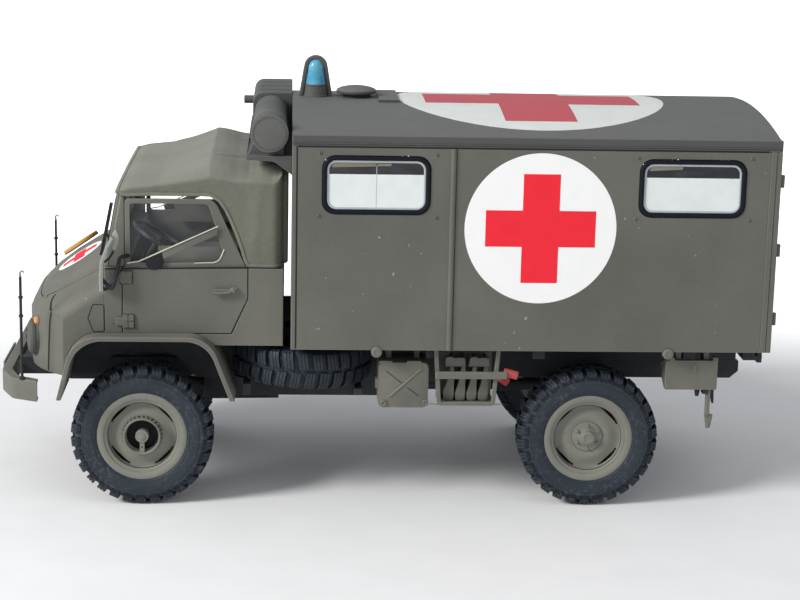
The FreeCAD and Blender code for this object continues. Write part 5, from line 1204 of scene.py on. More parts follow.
def cab_joint_lines():
    """Dark gaps round the doors and along the waist."""
    lines = Stock()
    for side in SIDES:
        face = side * (CAB_FACE - 0.02)
        for points, width, depth in (([(24.75, 45.35), (24.75, 39.55), (27.75, 33.0), (36.0, 32.95)], 0.15, 0.03),
                                     ([(36.0, 32.95), (47.4, 32.95), (47.4, 44.9)], 0.07, 0.02),
                                     ([(18.6, 45.2), (24.7, 45.3)], 0.16, 0.02),
                                     ([(24.7, 45.28), (50.4, 44.85)], 0.3, 0.03)):
            lines.side_line(points, face, seam(width, depth))
    piece("cab_joint_lines", lines, SEAM, slot="olive_paint")


def windscreen_seals():
    """Rubber round each windscreen pane, wipers and their spindles."""
    set_back, rise_of_screen = 2.5, 13.9
    lean = math.atan2(set_back, rise_of_screen)
    foot = Vector((NOSE_LOW.x, 0, WAIST))

    def on_screen(y, rise, out=0.05):
        return foot + Vector((-math.sin(lean) * rise + out, y, math.cos(lean) * rise))
    ahead = Vector((math.cos(lean), 0, math.sin(lean)))
    seals = Stock()
    for side in SIDES:
        corners = rounded([(0.65, 2.9, 1), (24.5, 2.9, 1), (24.1, 12.6, 1), (0.65, 12.6, 1)], 5)
        seals.sweep([on_screen(side * y, rise) for y, rise in corners], bead(0.55, 0.22), ahead, True)
    piece("windscreen_seals", seals, RUBBER, slot="rubber_seal")
    wipers = Stock()
    for side in SIDES:
        pivot = on_screen(side * 14.0, 2.3, 0.5)
        elbow, tip = on_screen(side * 16.9, 4.9, 1.35), on_screen(side * 19.4, 10.6, 1.1)
        wipers.tube([on_screen(side * 14.0, 2.2, -0.3), pivot + ahead * 0.35], 0.42, 14)
        wipers.tube([pivot, elbow], [0.24, 0.15], 8)
        blade_low = elbow.lerp(tip, -0.9)
        wipers.sweep([blade_low, elbow, tip], [(-0.24, -0.34), (0.24, -0.34), (0.2, 0.3), (-0.2, 0.3)], ahead)
    piece("wipers_finished", wipers, BLACK, ["wipers"])


def mirrors():
    """Tube arms, the edge-on mirror plates with their faces and the small ramp mirrors."""
    parts = Stock()
    for side in SIDES:
        arm = [(46.2, side * (CAB_FACE - 0.4), 47.2), (47.6, side * 28.2, 47.3), (48.4, side * 29.2, 43.6),
               (49.0, side * 29.5, 41.5), (50.5, side * 29.3, 43.1), (51.0, side * 29.0, 43.6)]
        parts.finish = 0
        parts.tube(bent(arm, 0.7, 5), 0.36, 10)
        brace = [(48.6, side * 29.3, 43.2), (50.2, side * 29.4, 41.4), (51.0, side * 29.0, 42.2)]
        parts.tube(bent(brace, 0.5, 4), 0.3, 10)
        shell = [(48.8, 51.2), (49.9, 49.1), (50.75, 46.7), (50.95, 44.2), (50.9, 41.4)]
        path = [Vector((x, side * (CAB_FACE + 2.1), z)) for x, z in shell]
        parts.finish = 1
        parts.sweep(path, rectangle(-1.3, -0.3, 1.3, 0.3, 0.16, 2), (1, 0, 0))
        parts.finish = 2
        parts.sweep([p + Vector((-0.2, 0, 0)) for p in path[1:]], rectangle(-1.1, -0.16, 1.1, 0.04), (1, 0, 0))
        parts.finish = 1
        leaf = [(48.25, 52.4), (48.95, 51.6), (49.15, 50.2), (48.95, 48.9), (48.6, 48.2), (48.0, 49.6), (47.75, 51.0)]
        parts.side_plate(leaf, side * 28.1, 0.4, 0.1)
        parts.finish = 0
        stalk = [(48.6, side * 28.3, 48.6), (49.6, side * 28.8, 47.0), (50.6, side * 29.0, 46.4)]
        parts.tube(bent(stalk, 0.6, 4), 0.2, 8)
    piece("mirrors_finished", parts, [BLACK, PALE, MIRROR_GLASS], ["mirrors"])


def cab_inside():
    """Seats with piped cushions, and the dashboard with its dials."""
    low, high = low_high("seats")
    seats = Stock()
    for side in SIDES:
        y0, y1 = sorted((side * 5.2, side * 18.8))
        seats.finish = 0
        seats.block((low.x + 3.6, y0, WAIST - 7.2), (high.x, y1, WAIST - 4.3))
        lean = Matrix.Translation((low.x + 3.4, 0, WAIST - 6.6)) @ turned_by(-11, "Y")
        seats.block((-1.2, y0 + 0.3, 0), (1.3, y1 - 0.3, 14.2), lean)
        seats.finish = 1
        seats.block((low.x + 5, y0 + 1.3, low.z), (high.x - 1.6, y1 - 1.3, WAIST - 7.1))
        seats.finish = 2
        for k in range(1, 5):
            y = y0 + 0.3 + (y1 - y0 - 0.6) * k / 5
            seats.tube([lean @ Vector((1.28, y, 1.0)), lean @ Vector((1.28, y, 13.4))], 0.12, 6)
    piece("seats_finished", seats, [SEAT, BLACK, THREAD], ["seats"])
    eased("dashboard", [BLACK, BLACK], 0.1)
    low, high = low_high("dashboard")
    dials = Stock()
    for k, radius in enumerate((0.9, 0.9, 0.6)):
        dials.turned([(radius, 0), (radius, -0.25), (radius - 0.15, -0.3), (0, -0.2)],
                     (low.x + 8.75, 9.6 + 2.4 * k, WAIST - 1.9), "X", 20)
    piece("dashboard_dials", dials, LAMP, slot="dark_paint")


# --- Canvas top ---
CREASE_Y, SHOULDER_Y, SIDE_Y = 22.5, 26.2, 26.5
CANVAS_ROWS = [  # place along the truck, height of the top crease, height of the shoulder below it
    (18.5, 63.4, 62.4), (19.4, 63.45, 61.3), (20.3, 63.45, 60.75), (22.4, 63.4, 60.85), (23.4, 62.95, 60.9),
    (24.7, 62.6, 60.95), (26.9, 62.9, 61.0), (28.2, 63.25, 61.2), (29.9, 63.65, 61.5), (31.75, 63.9, 61.8),
    (33.2, 63.3, 61.45), (36.3, 62.15, 60.95), (40.9, 60.85, 60.25), (46.0, 59.9, 59.7), (48.3, 59.15, 59.05)]
DOOR_EDGE = [  # lower edge of the canvas round the door window
    (18.5, 45.35), (24.7, 45.45), (25.25, 46.6), (26.0, 49.2), (26.9, 51.55), (27.9, 53.95), (28.75, 55.75),
    (29.9, 57.4), (31.5, 58.35), (33.8, 58.45), (42.9, 58.4), (46.6, 58.25), (48.3, 58.6)]
KNOTS = [0.0, 0.46, 0.48, 0.50, 0.66, 0.69, 0.72, 1.0]
SHARES = [a + (b - a) * k / n for a, b, n in zip(KNOTS, KNOTS[1:], (12, 1, 1, 6, 1, 1, 14)) for k in range(n)] + [1.0]
CORNER = 1.9


def along_rows(rows, x):
    """Values of a table at a place between its rows."""
    for before, after in zip(rows, rows[1:]):
        if x <= after[0]:
            share = (x - before[0]) / (after[0] - before[0])
            return [a + (b - a) * share for a, b in zip(before[1:], after[1:])]
    return list(rows[-1][1:])


def canvas_point(x, share):
    """Place on the left half of the canvas: share 0 is the middle of the top, 1 the lower edge."""
    crease, shoulder = along_rows(CANVAS_ROWS, x)
    edge = along_rows(DOOR_EDGE, x)[0]
    turned = min(1.0, max(0.0, (CANVAS_ROWS[0][0] + CORNER - x) / CORNER))
    inset = CORNER * (1 - math.sqrt(1 - turned ** 2)) if turned < 1 else CORNER
    upper, lower = Vector((CREASE_Y, crease - 0.06)), Vector((SHOULDER_Y, shoulder))
    corners = [Vector((0, crease + 0.25)), Vector((CREASE_Y - 0.5, crease + 0.02)), upper, upper.lerp(lower, 0.13),
               upper.lerp(lower, 0.9), Vector((SHOULDER_Y + 0.12, shoulder - 0.12)),
               Vector((SIDE_Y, max(shoulder - 0.45, edge + 0.3 * (shoulder - edge)))), Vector((SIDE_Y + 0.02, edge))]
    for k in range(7):
        if share <= KNOTS[k + 1] + 1e-9:
            t = (share - KNOTS[k]) / (KNOTS[k + 1] - KNOTS[k])
            y, z = corners[k].lerp(corners[k + 1], t)
            break
    return Vector((x, y * (1 - inset / SIDE_Y), z))


def folds(place):
    """Depth of the soft folds at a place: broad and fine waves, the drape of the side, the sag of the top."""
    x, y, z = place
    flow = noise.noise(Vector((x * 0.16, abs(y) * 0.42, z * 0.10))) * 0.14
    flow += noise.noise(Vector((x * 0.5 + 7, y * 0.22, z * 0.2))) * 0.05
    drape = 0.14 * math.exp(-((x - 22.8 - 0.10 * (58 - z)) / 1.1) ** 2) if z < 60 else 0.0
    sag = -0.22 * math.exp(-((x - 38.5) / 4.0) ** 2) * max(0.0, 1 - (y / 21) ** 2) if z > 60 else 0.0
    return flow + drape + sag


def canvas_top():
    """One curved sheet from edge to edge, hemmed, seamed and stitched, with its rear wall."""
    start, end = CANVAS_ROWS[0][0], CANVAS_ROWS[-1][0]
    steps = 100
    stations = [start + (end - start) * (k / steps) ** 1.1 for k in range(steps + 1)]
    rows = []
    for x in stations:
        row = []
        for side, shares in ((LEFT, reversed(SHARES)), (RIGHT, SHARES[1:])):
            for share in shares:
                place = canvas_point(x, share)
                place.y *= side
                away = Vector((0, place.y / SIDE_Y, 1.0 if share < 0.5 else 0.15)).normalized()
                fade = min(1.0, (1 - share) * 12, (x - start) * 0.8 + 0.1, (end - x) * 0.8 + 0.1)
                row.append(place + away * folds(place) * fade)
        rows.append(row)
    sheet = Stock()
    sheet.rings(rows, False)
    mesh = sheet.to_mesh("canvas_sheet")
    top = Stock()
    count = len(mesh.polygons)
    top.add(walled(mesh, CLOTH, -1.0))
    # The inner face of the sheet takes the near-black lining colour: painted shade under the canvas.
    for face in top.mesh.faces[count:2 * count]:
        face.material_index = 2
    wall_outline = rounded([(-24.4, 45.5, 0.8), (24.4, 45.5, 0.8), (24.4, 61.6, 1.5), (20.6, 63.0, 2), (-20.6, 63.0, 2),
                            (-24.4, 61.6, 1.5)], 4)
    top.plate(wall_outline, crosswise(start - 1.0), (1.4, 0, 0), 0.5)
    top.finish = 1
    for side in SIDES:
        hem = [canvas_point(x, 1.0) for x in stations]
        top.sweep([(p.x, side * (p.y + 0.04), p.z + 0.1) for p in hem], rectangle(-0.3, -0.12, 0.3, 0.12, 0.1, 2),
                  (0, side, 0))
        # Bead in the lighter hem colour along the shoulder crease: a painted highlight where the crease catches the
        # light.
        fold = [canvas_point(x, 0.68) for x in stations if x > start + 1.5]
        top.sweep([(p.x, side * p.y, p.z) for p in fold], bead(0.34, 0.05), (0, side, 0.8))
    front = [canvas_point(end - 0.1, s) for s in reversed(SHARES)]
    front += [Vector((p.x, -p.y, p.z)) for p in reversed(front[:-1])]
    top.sweep(front, rectangle(-0.36, -0.24, 0.36, 0.16, 0.14, 2), (0.25, 0, 1))
    piece("canvas_top_finished", top, [CANVAS, CANVAS_HEM_AND_HIGHLIGHT, LINING_SHADE], ["canvas_top"], sharp=50)
    canvas_stitching(stations)


def canvas_stitching(stations):
    """Threads along the hems and the sewn seam behind the bow."""
    pitch = 0.62
    threads = Stock()
    for side in SIDES:
        hem = [canvas_point(x, 1.0) for x in stations]
        patch = [(31.0 - pitch * k, side * (15.3 - pitch * k), canvas_point(31.0 - pitch * k, 0.3).z + 0.18)
                 for k in range(12)]
        for line in ([(p.x, side * (p.y + 0.1), p.z + 0.5) for p in hem], patch):
            threads.add(grown("thread", path_mesh(line), Pitch=pitch, Length=0.36, Radius=0.045, Finish=THREAD))
    piece("canvas_stitching", threads, THREAD, slot="canvas")


# --- Box body ---
def box_shell():
    for node in ("box_front_wall", "box_rear_frame"):
        eased(node, BOX_SHADED_PAINT, 0.14)
    eased("box_floor", UNDERNEATH, 0.1)
    eased("box_roof", [ROOF, ROOF_EDGE], 0.16, limit=40)
    box_sides()
    rear_doors()


def box_sides():
    """Side panels with their window openings, a half-round joint strip and the hanging lugs."""
    low, high = low_high("left_box_side")
    openings = [(x0 - REBATE, WINDOW_LOW - REBATE, x1 + REBATE, WINDOW_HIGH + REBATE) for x0, x1 in SIDE_WINDOWS]
    for side, node in ((LEFT, "left_box_side"), (RIGHT, "right_box_side")):
        panel = Stock()
        face = side * BOX_FACE
        panel.pierced((low.x, BOX_FOOT, high.x, high.z), openings, upright(face - side * PANEL), (0, side * PANEL, 0))
        panel.side_line([(STRIP_X, BOX_FOOT + 0.1), (STRIP_X, high.z - 0.1)], face, bead(1.0, 0.42, 8))
        panel.finish = 1
        for x in LUG_PLACES:
            panel.boss([(1.0, -0.9), (1.0, 0.3), (0.9, 0.44), (0.5, 0.5), (0.46, 0.42), (0, 0.42)],
                       (x, face, BOX_FOOT - 0.3), side, 28)
        piece(node + "_finished", panel, BOX_SHADED_PAINT, [node], sharp=50, even=True)


def rear_doors():
    """Door leaves with their window openings and hinges."""
    face, inner, outer = ROOF_LOW.x, 0.08, 25.25
    y0, z0, y1, z1 = REAR_WINDOW
    opening = (y0 - REBATE, z0 - REBATE, y1 + REBATE, z1 + REBATE)
    for side, node in ((LEFT, "rear_door_left"), (RIGHT, "rear_door_right")):
        low, high = low_high(node)
        leaf = Stock()
        leaf.pierced((inner, low.z, outer, high.z), [opening],
                     lambda p, side=side: Vector((face + PANEL, side * p[0], p[1])), (-PANEL, 0, 0))
        for level in HINGE_LEVELS:
            y0, y1 = sorted((side * 21.4, side * 29.6))
            leaf.block((face - 0.42, y0, level - 0.6), (face + 0.1, y1, level + 0.6))
            leaf.turned([(0.4, level - 1.1), (0.4, level + 1.1), (0.3, level + 1.2), (0, level + 1.2)],
                        (face - 0.38, side * 29.8, 0), "Z", 18)
        piece(node + "_finished", leaf, BOX_SHADED_PAINT, [node], sharp=50, even=True)


def side_windows():
    """Black rubber seals, thin inner frames, frosted lower panes and dark upper strips with a blind; the dark strips
    are painted shade for the unlit inside of the box.
    """
    seals, frames, frosted, dark, blinds = (Stock() for _ in range(5))
    split = WINDOW_LOW + 0.70 * (WINDOW_HIGH - WINDOW_LOW)
    for side in SIDES:
        face = side * BOX_FACE
        for x0, x1 in SIDE_WINDOWS:
            seals.side_line(rectangle(x0, WINDOW_LOW, x1, WINDOW_HIGH, 2.0, 6), face, bead(0.8, 0.32), True)
            inner = rectangle(x0 + 0.62, WINDOW_LOW + 0.62, x1 - 0.62, WINDOW_HIGH - 0.62, 1.5, 6)
            frames.side_line(inner, face - side * 0.1, bead(0.42, 0.14), True)
            lower = rounded([(x0 + 0.5, WINDOW_LOW + 0.5, 1.5), (x1 - 0.5, WINDOW_LOW + 0.5, 1.5), (x1 - 0.5, split),
                             (x0 + 0.5, split)], 6)
            upper = rounded([(x0 + 0.5, split), (x1 - 0.5, split), (x1 - 0.5, WINDOW_HIGH - 0.5, 1.5),
                             (x0 + 0.5, WINDOW_HIGH - 0.5, 1.5)], 6)
            frosted.side_plate(lower, face - side * 0.2, 0.1)
            # The upper strip is a near-black plate: painted shade of the inside.
            dark.side_plate(upper, face - side * 0.24, 0.1)
            front = x0 == SIDE_WINDOWS[0][0]
            if front:
                half = (x0 + x1) / 2
                frames.side_line([(half, WINDOW_LOW + 0.7), (half, WINDOW_HIGH - 0.7)], face - side * 0.13,
                                 seam(0.12, 0.04))
            reach = 12.6 if front else 8.0
            blind = rounded([(x1 - reach, WINDOW_HIGH - 1.35, 0.3), (x1 - 1.1, WINDOW_HIGH - 1.7, 0.2),
                             (x1 - 1.6, WINDOW_HIGH - 0.85, 0.3), (x1 - reach + 0.8, WINDOW_HIGH - 0.85, 0.3)], 3)
            blinds.side_plate(blind, face - side * 0.13, 0.04)
    back, seal_x = low_high("window_panes")[0].x, low_high("window_seals")[0].x + 0.32
    for side in SIDES:
        y0, y1 = sorted((side * REAR_WINDOW[0], side * REAR_WINDOW[2]))
        ring = rectangle(y0, REAR_WINDOW[1], y1, REAR_WINDOW[3], 2.0, 6)
        seals.sweep([(seal_x, y, z) for y, z in ring], bead(1.1, 0.32), (-1, 0, 0), True)
        pane = rectangle(y0 + 0.3, 56.7, y1 - 0.3, 64.7, 1.7, 6)
        frosted.plate(pane, crosswise(back + 0.02), (0.12, 0, 0))
        # Dark strip at the top of the rear pane: painted shade of the inside.
        dark.plate(rectangle(y0 + 0.6, 62.2, y1 - 0.6, 64.1), crosswise(back - 0.05), (0.06, 0, 0))
    piece("window_rubbers", seals, RUBBER, ["window_seals"])
    piece("window_inner_frames", frames, PANE_EDGE, slot="rubber_seal")
    piece("window_frosted_panes", frosted, FROSTED, ["window_panes"])
    piece("window_interior_shade_panes", dark, INTERIOR_SHADE, slot="clear_panes")
    piece("window_curtains", blinds, CURTAIN, slot="clear_panes")


def box_fittings():
    """Slotted screws and the dark joints round the side panels."""
    screws = Stock()
    heads = ((11.9, 67.0, 20), (-8.8, 66.9, 15), (12.1, 55.6, -30), (-8.9, 55.6, 10), (-44.9, 66.8, 30),
             (-65.6, 66.9, 15), (-44.9, 55.7, -15), (-65.6, 55.7, 40))
    for side in SIDES:
        for x, z, turn in heads:
            place = Vector((x, side * BOX_FACE, z))
            screws.finish = 0
            screws.boss([(0.34, -0.05), (0.34, 0.1), (0.24, 0.18), (0, 0.2)], place, side, 16)
            screws.finish = 1
            screws.block((-0.06, -0.21, -0.24), (0.06, 0.21, 0.24),
                         Matrix.Translation(place) @ turned_by(turn, "Y"))
    piece("side_screws", screws, [OLIVE, SEAM], slot="olive_paint")
    lines = Stock()
    for side in SIDES:
        rail_z = ROOF_LOW.z + 0.02
        lines.side_line([(-68.6, rail_z), (15.8, rail_z)], side * BOX_FACE, seam(0.3, 0.03))
        for x, lift, width, depth in ((-70.1, 0.3, 0.08, 0.03), (16.0, 0.3, 0.24, 0.03),
                                      (STRIP_X - 0.55, 0.2, 0.12, 0.02)):
            lines.side_line([(x, BOX_FOOT + lift), (x, ROOF_LOW.z)], side * BOX_FACE, seam(width, depth))
    piece("box_joint_lines", lines, SEAM, slot="olive_paint")


def side_markings():
    """Red crosses on both sides and on the roof."""
    for side, name in ((LEFT, "left_side"), (RIGHT, "right_side")):
        flat_marking(name, side, x=-27.8, z=53.7, radius=13.73, extent=19.9, arm=6.63)
    # The roof marking takes the shaded copies of the white and the red: painted shade and sheen.
    marking("roof", Skin("box_roof"), Vector((-28.6, 0, ROOF_CROWN)), Vector((1, 0, 0)), Vector((0, 1, 0)),
            (0, 0, -1), radius=25.7, extent=40.8, arm=13.3, rings=22, white=ROOF_WHITE_SHADED, red=ROOF_RED_SHADE_AND_SHEEN)


def rear_details():
    """Lock bar, handle and lamps of the rear wall."""
    back = ROOF_LOW.x
    iron = Stock()
    iron.tube([(back - 0.3, 2.0, 33.6), (back - 0.3, 2.0, 66.2)], 0.3, 12)
    for level in (35.5, 49.0, 64.0):
        iron.block((back - 0.5, 1.3, level), (back + 0.05, 2.7, level + 1.2))
    iron.finish = 1
    iron.tube(bent([(back - 0.3, 2.0, 45.6), (back - 0.5, 3.4, 45.6), (back - 0.4, 6.0, 45.2)], 0.3, 4), 0.24, 10)
    piece("rear_door_fittings", iron, [BOX_SHADED_EDGE, BLACK], slot="olive_paint")
    lamps = Stock()
    lamps.block((back + 1.15, -26, BOX_FOOT - 2.6), (low_high("rear_lamps")[1].x, 26, BOX_FOOT - 1.8))
    for side in SIDES:
        y0, y1 = sorted((side * 21.3, side * 25.7))
        lamps.finish = 0
        lamps.block((back + 0.35, y0, BOX_FOOT - 3.1), (back + 1.2, y1, BOX_FOOT - 1.3))
        for y, finish in ((24.6, 1), (22.4, 2)):
            lamps.finish = finish
            lamps.turned([(0.78, 0.4), (0.78, -0.02), (0.66, -0.16), (0, -0.26)],
                         (back + 0.35, side * y, BOX_FOOT - 2.2), "X", 24)
    piece("rear_lamps_finished", lamps, [BLACK, RED_LENS, ORANGE], ["rear_lamps"])


# --- Roof gear ---
def beacon():
    """Clear blue dome on a conical foot under one arched strap."""
    low, high = low_high("beacon_guard")
    dome_low, dome_high = low_high("beacon_dome")
    centre = (low.x + high.x) / 2
    axis = Vector((centre, 0, 0))
    seat = dome_low.z + 0.65
    guard = Stock()
    guard.turned([(2.4, ROOF_CROWN - 0.15), (2.38, ROOF_CROWN + 0.2), (2.28, ROOF_CROWN + 0.3), (2.04, seat - 0.35),
                  (2.1, seat - 0.28), (2.1, seat - 0.06), (2.0, seat), (0, seat)], axis, "Z", 44)
    half, top, crest = (high.x - low.x) / 2 - 0.36, 1.9, high.z - 0.36
    leg = [Vector((centre - half, 0, ROOF_CROWN)), Vector((centre - top - 0.06, 0, crest - 2.0))]
    bow = [Vector((centre - top * math.cos(t), 0, crest - 1.9 + 1.9 * math.sin(t)))
           for t in (math.pi * k / 16 for k in range(17))]
    mirror = [Vector((2 * centre - p.x, 0, p.z)) for p in reversed(leg)]
    guard.sweep(leg + bow + mirror, rectangle(-0.7, -0.5, 0.7, 0.34, 0.2, 3), [
        (p - Vector((centre, 0, ROOF_CROWN + 3.0))).normalized() for p in leg + bow + mirror])
    guard.block((low.x + 0.05, -0.62, ROOF_CROWN - 0.2), (high.x - 0.05, 0.62, ROOF_CROWN + 0.18))
    for side in (RIGHT, LEFT):
        guard.turned([(0.26, 0), (0.26, 0.14), (0.16, 0.22), (0, 0.22)],
                     (centre + side * (half - 0.5), 0, ROOF_CROWN + 0.15), "Z", 12)
    piece("beacon_guard_finished", guard, GEAR, ["beacon_guard"])
    dome = Stock()
    radius, height = (dome_high.x - dome_low.x) / 2, dome_high.z - dome_low.z
    wall = [(radius + 0.08, 0), (radius + 0.06, 0.3)]
    for k in range(1, 9):
        level = 0.06 + 0.52 * k / 9
        edge = radius + 0.06 - 0.42 * (k / 9) ** 1.5
        wall += [(edge, height * level), (edge - 0.04, height * level + 0.1)]
    turns = [math.pi / 2 * k / 10 for k in range(10)]
    crown = [(1.5 * math.cos(t), height * (0.66 + 0.335 * math.sin(t))) for t in turns]
    dome.turned(wall + crown + [(0, height * 0.995)], axis + Vector((0, 0, seat)), "Z", 44)
    piece("beacon_dome_finished", dome, DOME, ["beacon_dome"])


def roof_fan():
    """Low mushroom cap with a rolled rim on a short stem painted dark, painted shade under the cap."""
    low, high = low_high("roof_fan")
    axis = Vector(((low.x + high.x) / 2, (low.y + high.y) / 2, ROOF_CROWN))
    radius = (high.x - low.x) / 2
    fan = Stock()
    fan.turned([(radius - 1.2, 0.66), (radius - 0.4, 0.62), (radius - 0.12, 0.74), (radius, 1.0), (radius - 0.04, 1.26),
                (radius - 0.3, 1.52), (radius - 0.9, 1.78), (radius - 1.8, 1.98), (radius - 2.8, 2.08), (0, 2.14)],
               axis, "Z", 56)
    fan.turned([(0.42, 2.0), (0.42, 2.16), (0.3, 2.19), (0, 2.19)], axis, "Z", 18)
    # The stem in black paint: painted shade under the cap.
    fan.finish = 1
    fan.turned([(radius - 1.15, -0.2), (radius - 1.15, 0.7), (0, 0.7)], axis, "Z", 36)
    piece("roof_fan_finished", fan, [ROOF, BLACK], ["roof_fan"])


def roof_lines():
    """Low raised hatch beside the roof marking, and the gutter lines."""
    strip = Stock()
    strip.block((-3.2, -8.5, ROOF_CROWN - 0.6), (0.6, 7.2, ROOF_CROWN + 0.3))
    piece("roof_strips", strip, ROOF, slot="roof_paint")
    gutters = Stock()
    for side in SIDES:
        for level, width in ((0.45, 0.1), (0.8, 0.06)):
            z = ROOF_LOW.z + level
            gutters.side_line([(ROOF_LOW.x + 0.3, z), (ROOF_HIGH.x - 0.3, z)], side * (BOX_FACE - 0.02),
                              seam(width, 0.02))
    piece("gutter_lines", gutters, SEAM, slot="roof_paint")


def heater_gear():
    """Ribbed housing on its shelf across the front wall, and the heater drum beside it."""
    eased("heater_housing", [GEAR, GEAR_EDGE], 0.16)
    low, high = low_high("heater_drum")
    radius = (high.z - low.z) / 2 - 0.2
    axis = Vector(((low.x + high.x) / 2, 0, (low.z + high.z) / 2))
    end = high.y
    drum = Stock()
    drum.turned([(radius, low.y), (radius, end - 1.45), (radius + 0.16, end - 1.4), (radius + 0.18, end - 0.85),
                 (radius, end - 0.8), (radius, end - 0.12), (radius - 0.12, end), (radius - 0.34, end),
                 (radius - 0.4, end - 0.16), (0, end - 0.16)], axis, "Y", 64)
    drum.finish = 1
    drum.turned([(radius - 0.1, end - 8.4), (radius + 0.1, end - 8.3), (radius + 0.12, end - 6.2),
                 (radius - 0.1, end - 6.1)], axis, "Y", 64)
    drum.turned([(radius - 0.1, end - 0.62), (radius + 0.24, end - 0.58), (radius + 0.24, end - 0.1),
                 (radius - 0.1, end - 0.04)], axis, "Y", 64)
    piece("heater_drum_finished", drum, [GEAR, GEAR_EDGE], ["heater_drum"])


# --- Gear below the box ---
def storage_box():
    """Box with pressed diagonals, round catches at its foot, lid tabs and a side latch."""
    low = low_high("storage_box")[0]
    face, front, rear = 28.0, 0.75, -8.45
    foot, top = low.z, BOX_FOOT - 3.0
    box = Stock()
    box.side_plate(rectangle(rear, foot, front, top, 0.9, 6), low.y, face - low.y, 0.2)
    for x0, x1 in ((-7.1, -4.5), (-1.75, 0.65)):
        box.block((x0, face - 1.2, top - 0.1), (x1, face - 0.02, top + 0.32))
    box.block((front - 0.1, face - 2.2, foot + 3.5), (front + 0.5, face - 0.4, foot + 5.3))
    for x in (rear + 2.0, front - 2.0):
        box.block((x - 0.5, low.y + 0.6, top - 0.2), (x + 0.5, face - 3.5, BOX_FOOT))
    for x, z in ((-0.25, foot + 0.85), (-7.95, foot + 0.95)):
        box.boss([(0.62, -0.1), (0.62, 0.2), (0.5, 0.34), (0.34, 0.34), (0.28, 0.22), (0, 0.2)], (x, face, z), LEFT, 22)
    box.finish = 1
    box.side_line([(-1.4, 21.6), (-7.15, 26.85)], face, bead(0.34, 0.2))
    box.finish = 2
    box.side_line([(-0.7, 26.35), (-3.6, 24.05)], face, seam(0.14, 0.03))
    box.side_line([(-4.6, 23.3), (-6.75, 21.6)], face, seam(0.14, 0.03))
    piece("storage_box_finished", box, [OLIVE, OLIVE_EDGE, SEAM], ["storage_box"], sharp=40)


def chock_rack():
    """Open rack with four wedge chocks, a plate over each pair, and the two small red cylinders behind."""
    eased("chock_rack", BARE, 0.12)
    low, high = low_high("wheel_chocks")
    chocks = Stock()
    foot = low.z
    for x in (-12.45, -14.55, -16.65, -18.75):
        outline = rounded([(x + 1.0, foot + 0.1, 0.5), (x + 1.05, foot + 1.5, 0.4), (x + 0.1, foot + 4.6, 0.8),
                           (x - 0.15, foot + 8.0, 0.2), (x - 0.7, foot + 8.1, 0.2), (x - 0.8, foot + 1.6),
                           (x - 0.7, foot + 0.1, 0.4)], 5)
        chocks.side_plate(outline, low.y + 0.1, high.y - low.y - 0.3, 0.12)
    for x0, x1 in ((-15.3, -11.4), (-19.8, -15.9)):
        crown = rounded([(x1, 27.2), (x1 - 0.2, 28.9, 0.2), (x1 - 1.3, 29.1, 0.3), (x1 - 1.75, 28.5, 0.3),
                         (x1 - 2.3, 28.9, 0.3), (x0 + 0.2, 28.9, 0.2), (x0, 27.2)], 4)
        chocks.side_plate(crown, high.y - 0.9, 1.0, 0.14)
    piece("wheel_chocks_finished", chocks, OLIVE, ["wheel_chocks"], sharp=40)
    tanks = Stock()
    for start, end in (((-22.3, 28.0, 26.35), (-24.9, 28.5, 25.75)), ((-21.7, 25.7, 24.75), (-23.2, 26.9, 24.1))):
        run = Vector(end) - Vector(start)
        length = run.length
        tanks.turned([(0.7, 0), (0.8, 0.15), (0.8, length - 0.2), (0.72, length), (0.5, length), (0.44, length - 0.25),
                      (0, length - 0.25)], start, "Z", 28, lean=facing(run))
    piece("red_cylinders_finished", tanks, RED_TANK, ["red_cylinders"])


def rear_locker():
    """Wedge-shaped locker with its dark hook and pin."""
    eased("rear_locker", BARE, 0.12)
    low, high = low_high("rear_locker")
    foot = BOX_FOOT - 7.8
    bits = Stock()
    bits.turned([(0.34, foot - 1.45), (0.62, foot + 0.2), (0.62, foot + 0.5), (0, foot + 0.5)], (high.x - 6.3, 26.8, 0),
                "Z", 18)
    bits.block((low.x + 1.5, 26.0, foot - 0.9), (low.x + 2.5, 27.6, foot + 0.1))
    bits.side_plate([(low.x + 0.2, foot + 0.1), (low.x + 1.3, foot + 0.1), (low.x + 0.5, foot - 2.9),
                     (low.x + 0.1, foot - 3.0)], 26.3, 0.3, 0.06)
    piece("rear_locker_details", bits, UNDERBODY_SHADE, slot="olive_paint")


# --- Assembly, floor, light and camera ---
def area_light(name, place, width, power, colour):
    """Round lamp that looks at the truck."""
    target = Vector((-0.01, 0, 0.03))
    lamp = bpy.data.lights.new(name, "AREA")
    lamp.shape = "DISK"
    lamp.size = width
    lamp.energy = power
    lamp.color = colour
    holder = bpy.data.objects.new(name, lamp)
    holder.location = place
    holder.rotation_euler = (target - Vector(place)).to_track_quat("-Z", "Y").to_euler()
    bpy.context.scene.collection.objects.link(holder)


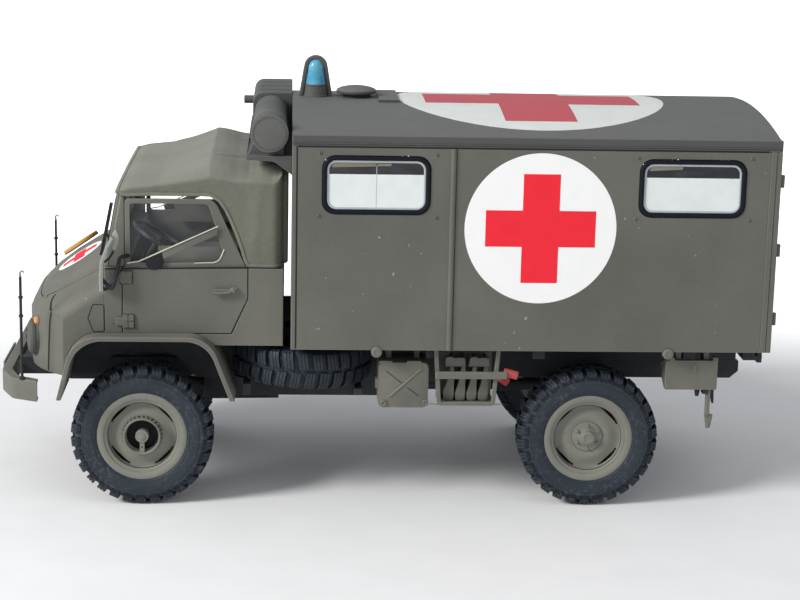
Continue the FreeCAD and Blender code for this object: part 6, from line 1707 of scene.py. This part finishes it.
def floor():
    """Pale floor that keeps the shadow of the truck and fades to white away from it."""
    sheet = bpy.data.meshes.new("floor")
    reach = 6.0
    sheet.from_pydata([(-reach, -reach, 0), (reach, -reach, 0), (reach, reach, 0), (-reach, reach, 0)], [],
                      [(0, 1, 2, 3)])
    finish = Finish("floor_card", Specular_IOR_Level=0.1)
    grain = finish.range(finish.noise(90, 3), 0.3, 0.7)
    away = finish.node("ShaderNodeVectorMath", {0: finish.place}, operation="LENGTH")
    near, far = 0.11, 0.26  # metres from the middle, between which the floor turns white
    fade = finish.range(away.outputs["Value"], near, far)
    seen = finish.maths("MULTIPLY", fade, finish.node("ShaderNodeLightPath").outputs["Is Camera Ray"])
    finish.give("Emission Color", (1, 1, 1, 1))
    finish.give("Emission Strength", seen)
    sheet.materials.append(finish.done(finish.mix(grain, shade(246, 246, 246), shade(250, 250, 250)), 0.9))
    card = bpy.data.objects.new("floor", sheet)
    bpy.context.scene.collection.objects.link(card)


def backdrop():
    """Plain white surround for what the camera sees past the floor."""
    world = bpy.data.worlds.new("studio")
    bpy.context.scene.world = world
    world.use_nodes = True
    tree = world.node_tree
    back = tree.nodes["Background"].inputs
    path = add_node(tree, "ShaderNodeLightPath")
    seen = add_node(tree, "ShaderNodeMix", {6: (0.47, 0.485, 0.51, 1), 7: (1, 1, 1, 1),
                                            "Factor": path.outputs["Is Camera Ray"]}, data_type="RGBA")
    feed(tree, back["Color"], seen.outputs[2])
    feed(tree, back["Strength"], 1.0)


def camera():
    yaw, down, roll = (math.radians(turn) for turn in (-3.309, 13.004, 1.227))
    place = Vector((17.251, 376.819, 120.460)) * MM
    ahead = Vector((math.sin(yaw) * math.cos(down), -math.cos(yaw) * math.cos(down), -math.sin(down)))
    right = Vector((-math.cos(yaw), -math.sin(yaw), 0))
    up = right.cross(ahead)
    level = right * math.cos(roll) + up * math.sin(roll)
    tall = up * math.cos(roll) - right * math.sin(roll)
    lens = bpy.data.cameras.new("camera")
    lens.sensor_width = 36
    lens.lens = 88.68
    lens.clip_start, lens.clip_end = 0.01, 20
    holder = bpy.data.objects.new("camera", lens)
    turn = Matrix((level, tall, -ahead)).transposed()
    holder.matrix_world = Matrix.Translation(place) @ turn.to_4x4()
    bpy.context.scene.collection.objects.link(holder)
    bpy.context.scene.camera = holder


place_wheels()
running_gear()
bumper_and_poles()
mudguards()
nose_panel()
front_lamps()
cab_shell()
windscreen_seals()
mirrors()
cab_inside()
canvas_top()
box_shell()
side_windows()
box_fittings()
side_markings()
rear_details()
beacon()
roof_fan()
roof_lines()
heater_gear()
storage_box()
chock_rack()
rear_locker()

floor()
backdrop()
area_light("key", (0.72, 0.38, 0.50), width=0.3, power=7.6, colour=(1.0, 0.99, 0.97))
area_light("fill", (-0.75, 0.55, 0.35), width=0.9, power=0.6, colour=(0.95, 0.98, 1.0))
camera()

bpy.context.scene.view_settings.view_transform = "Standard"
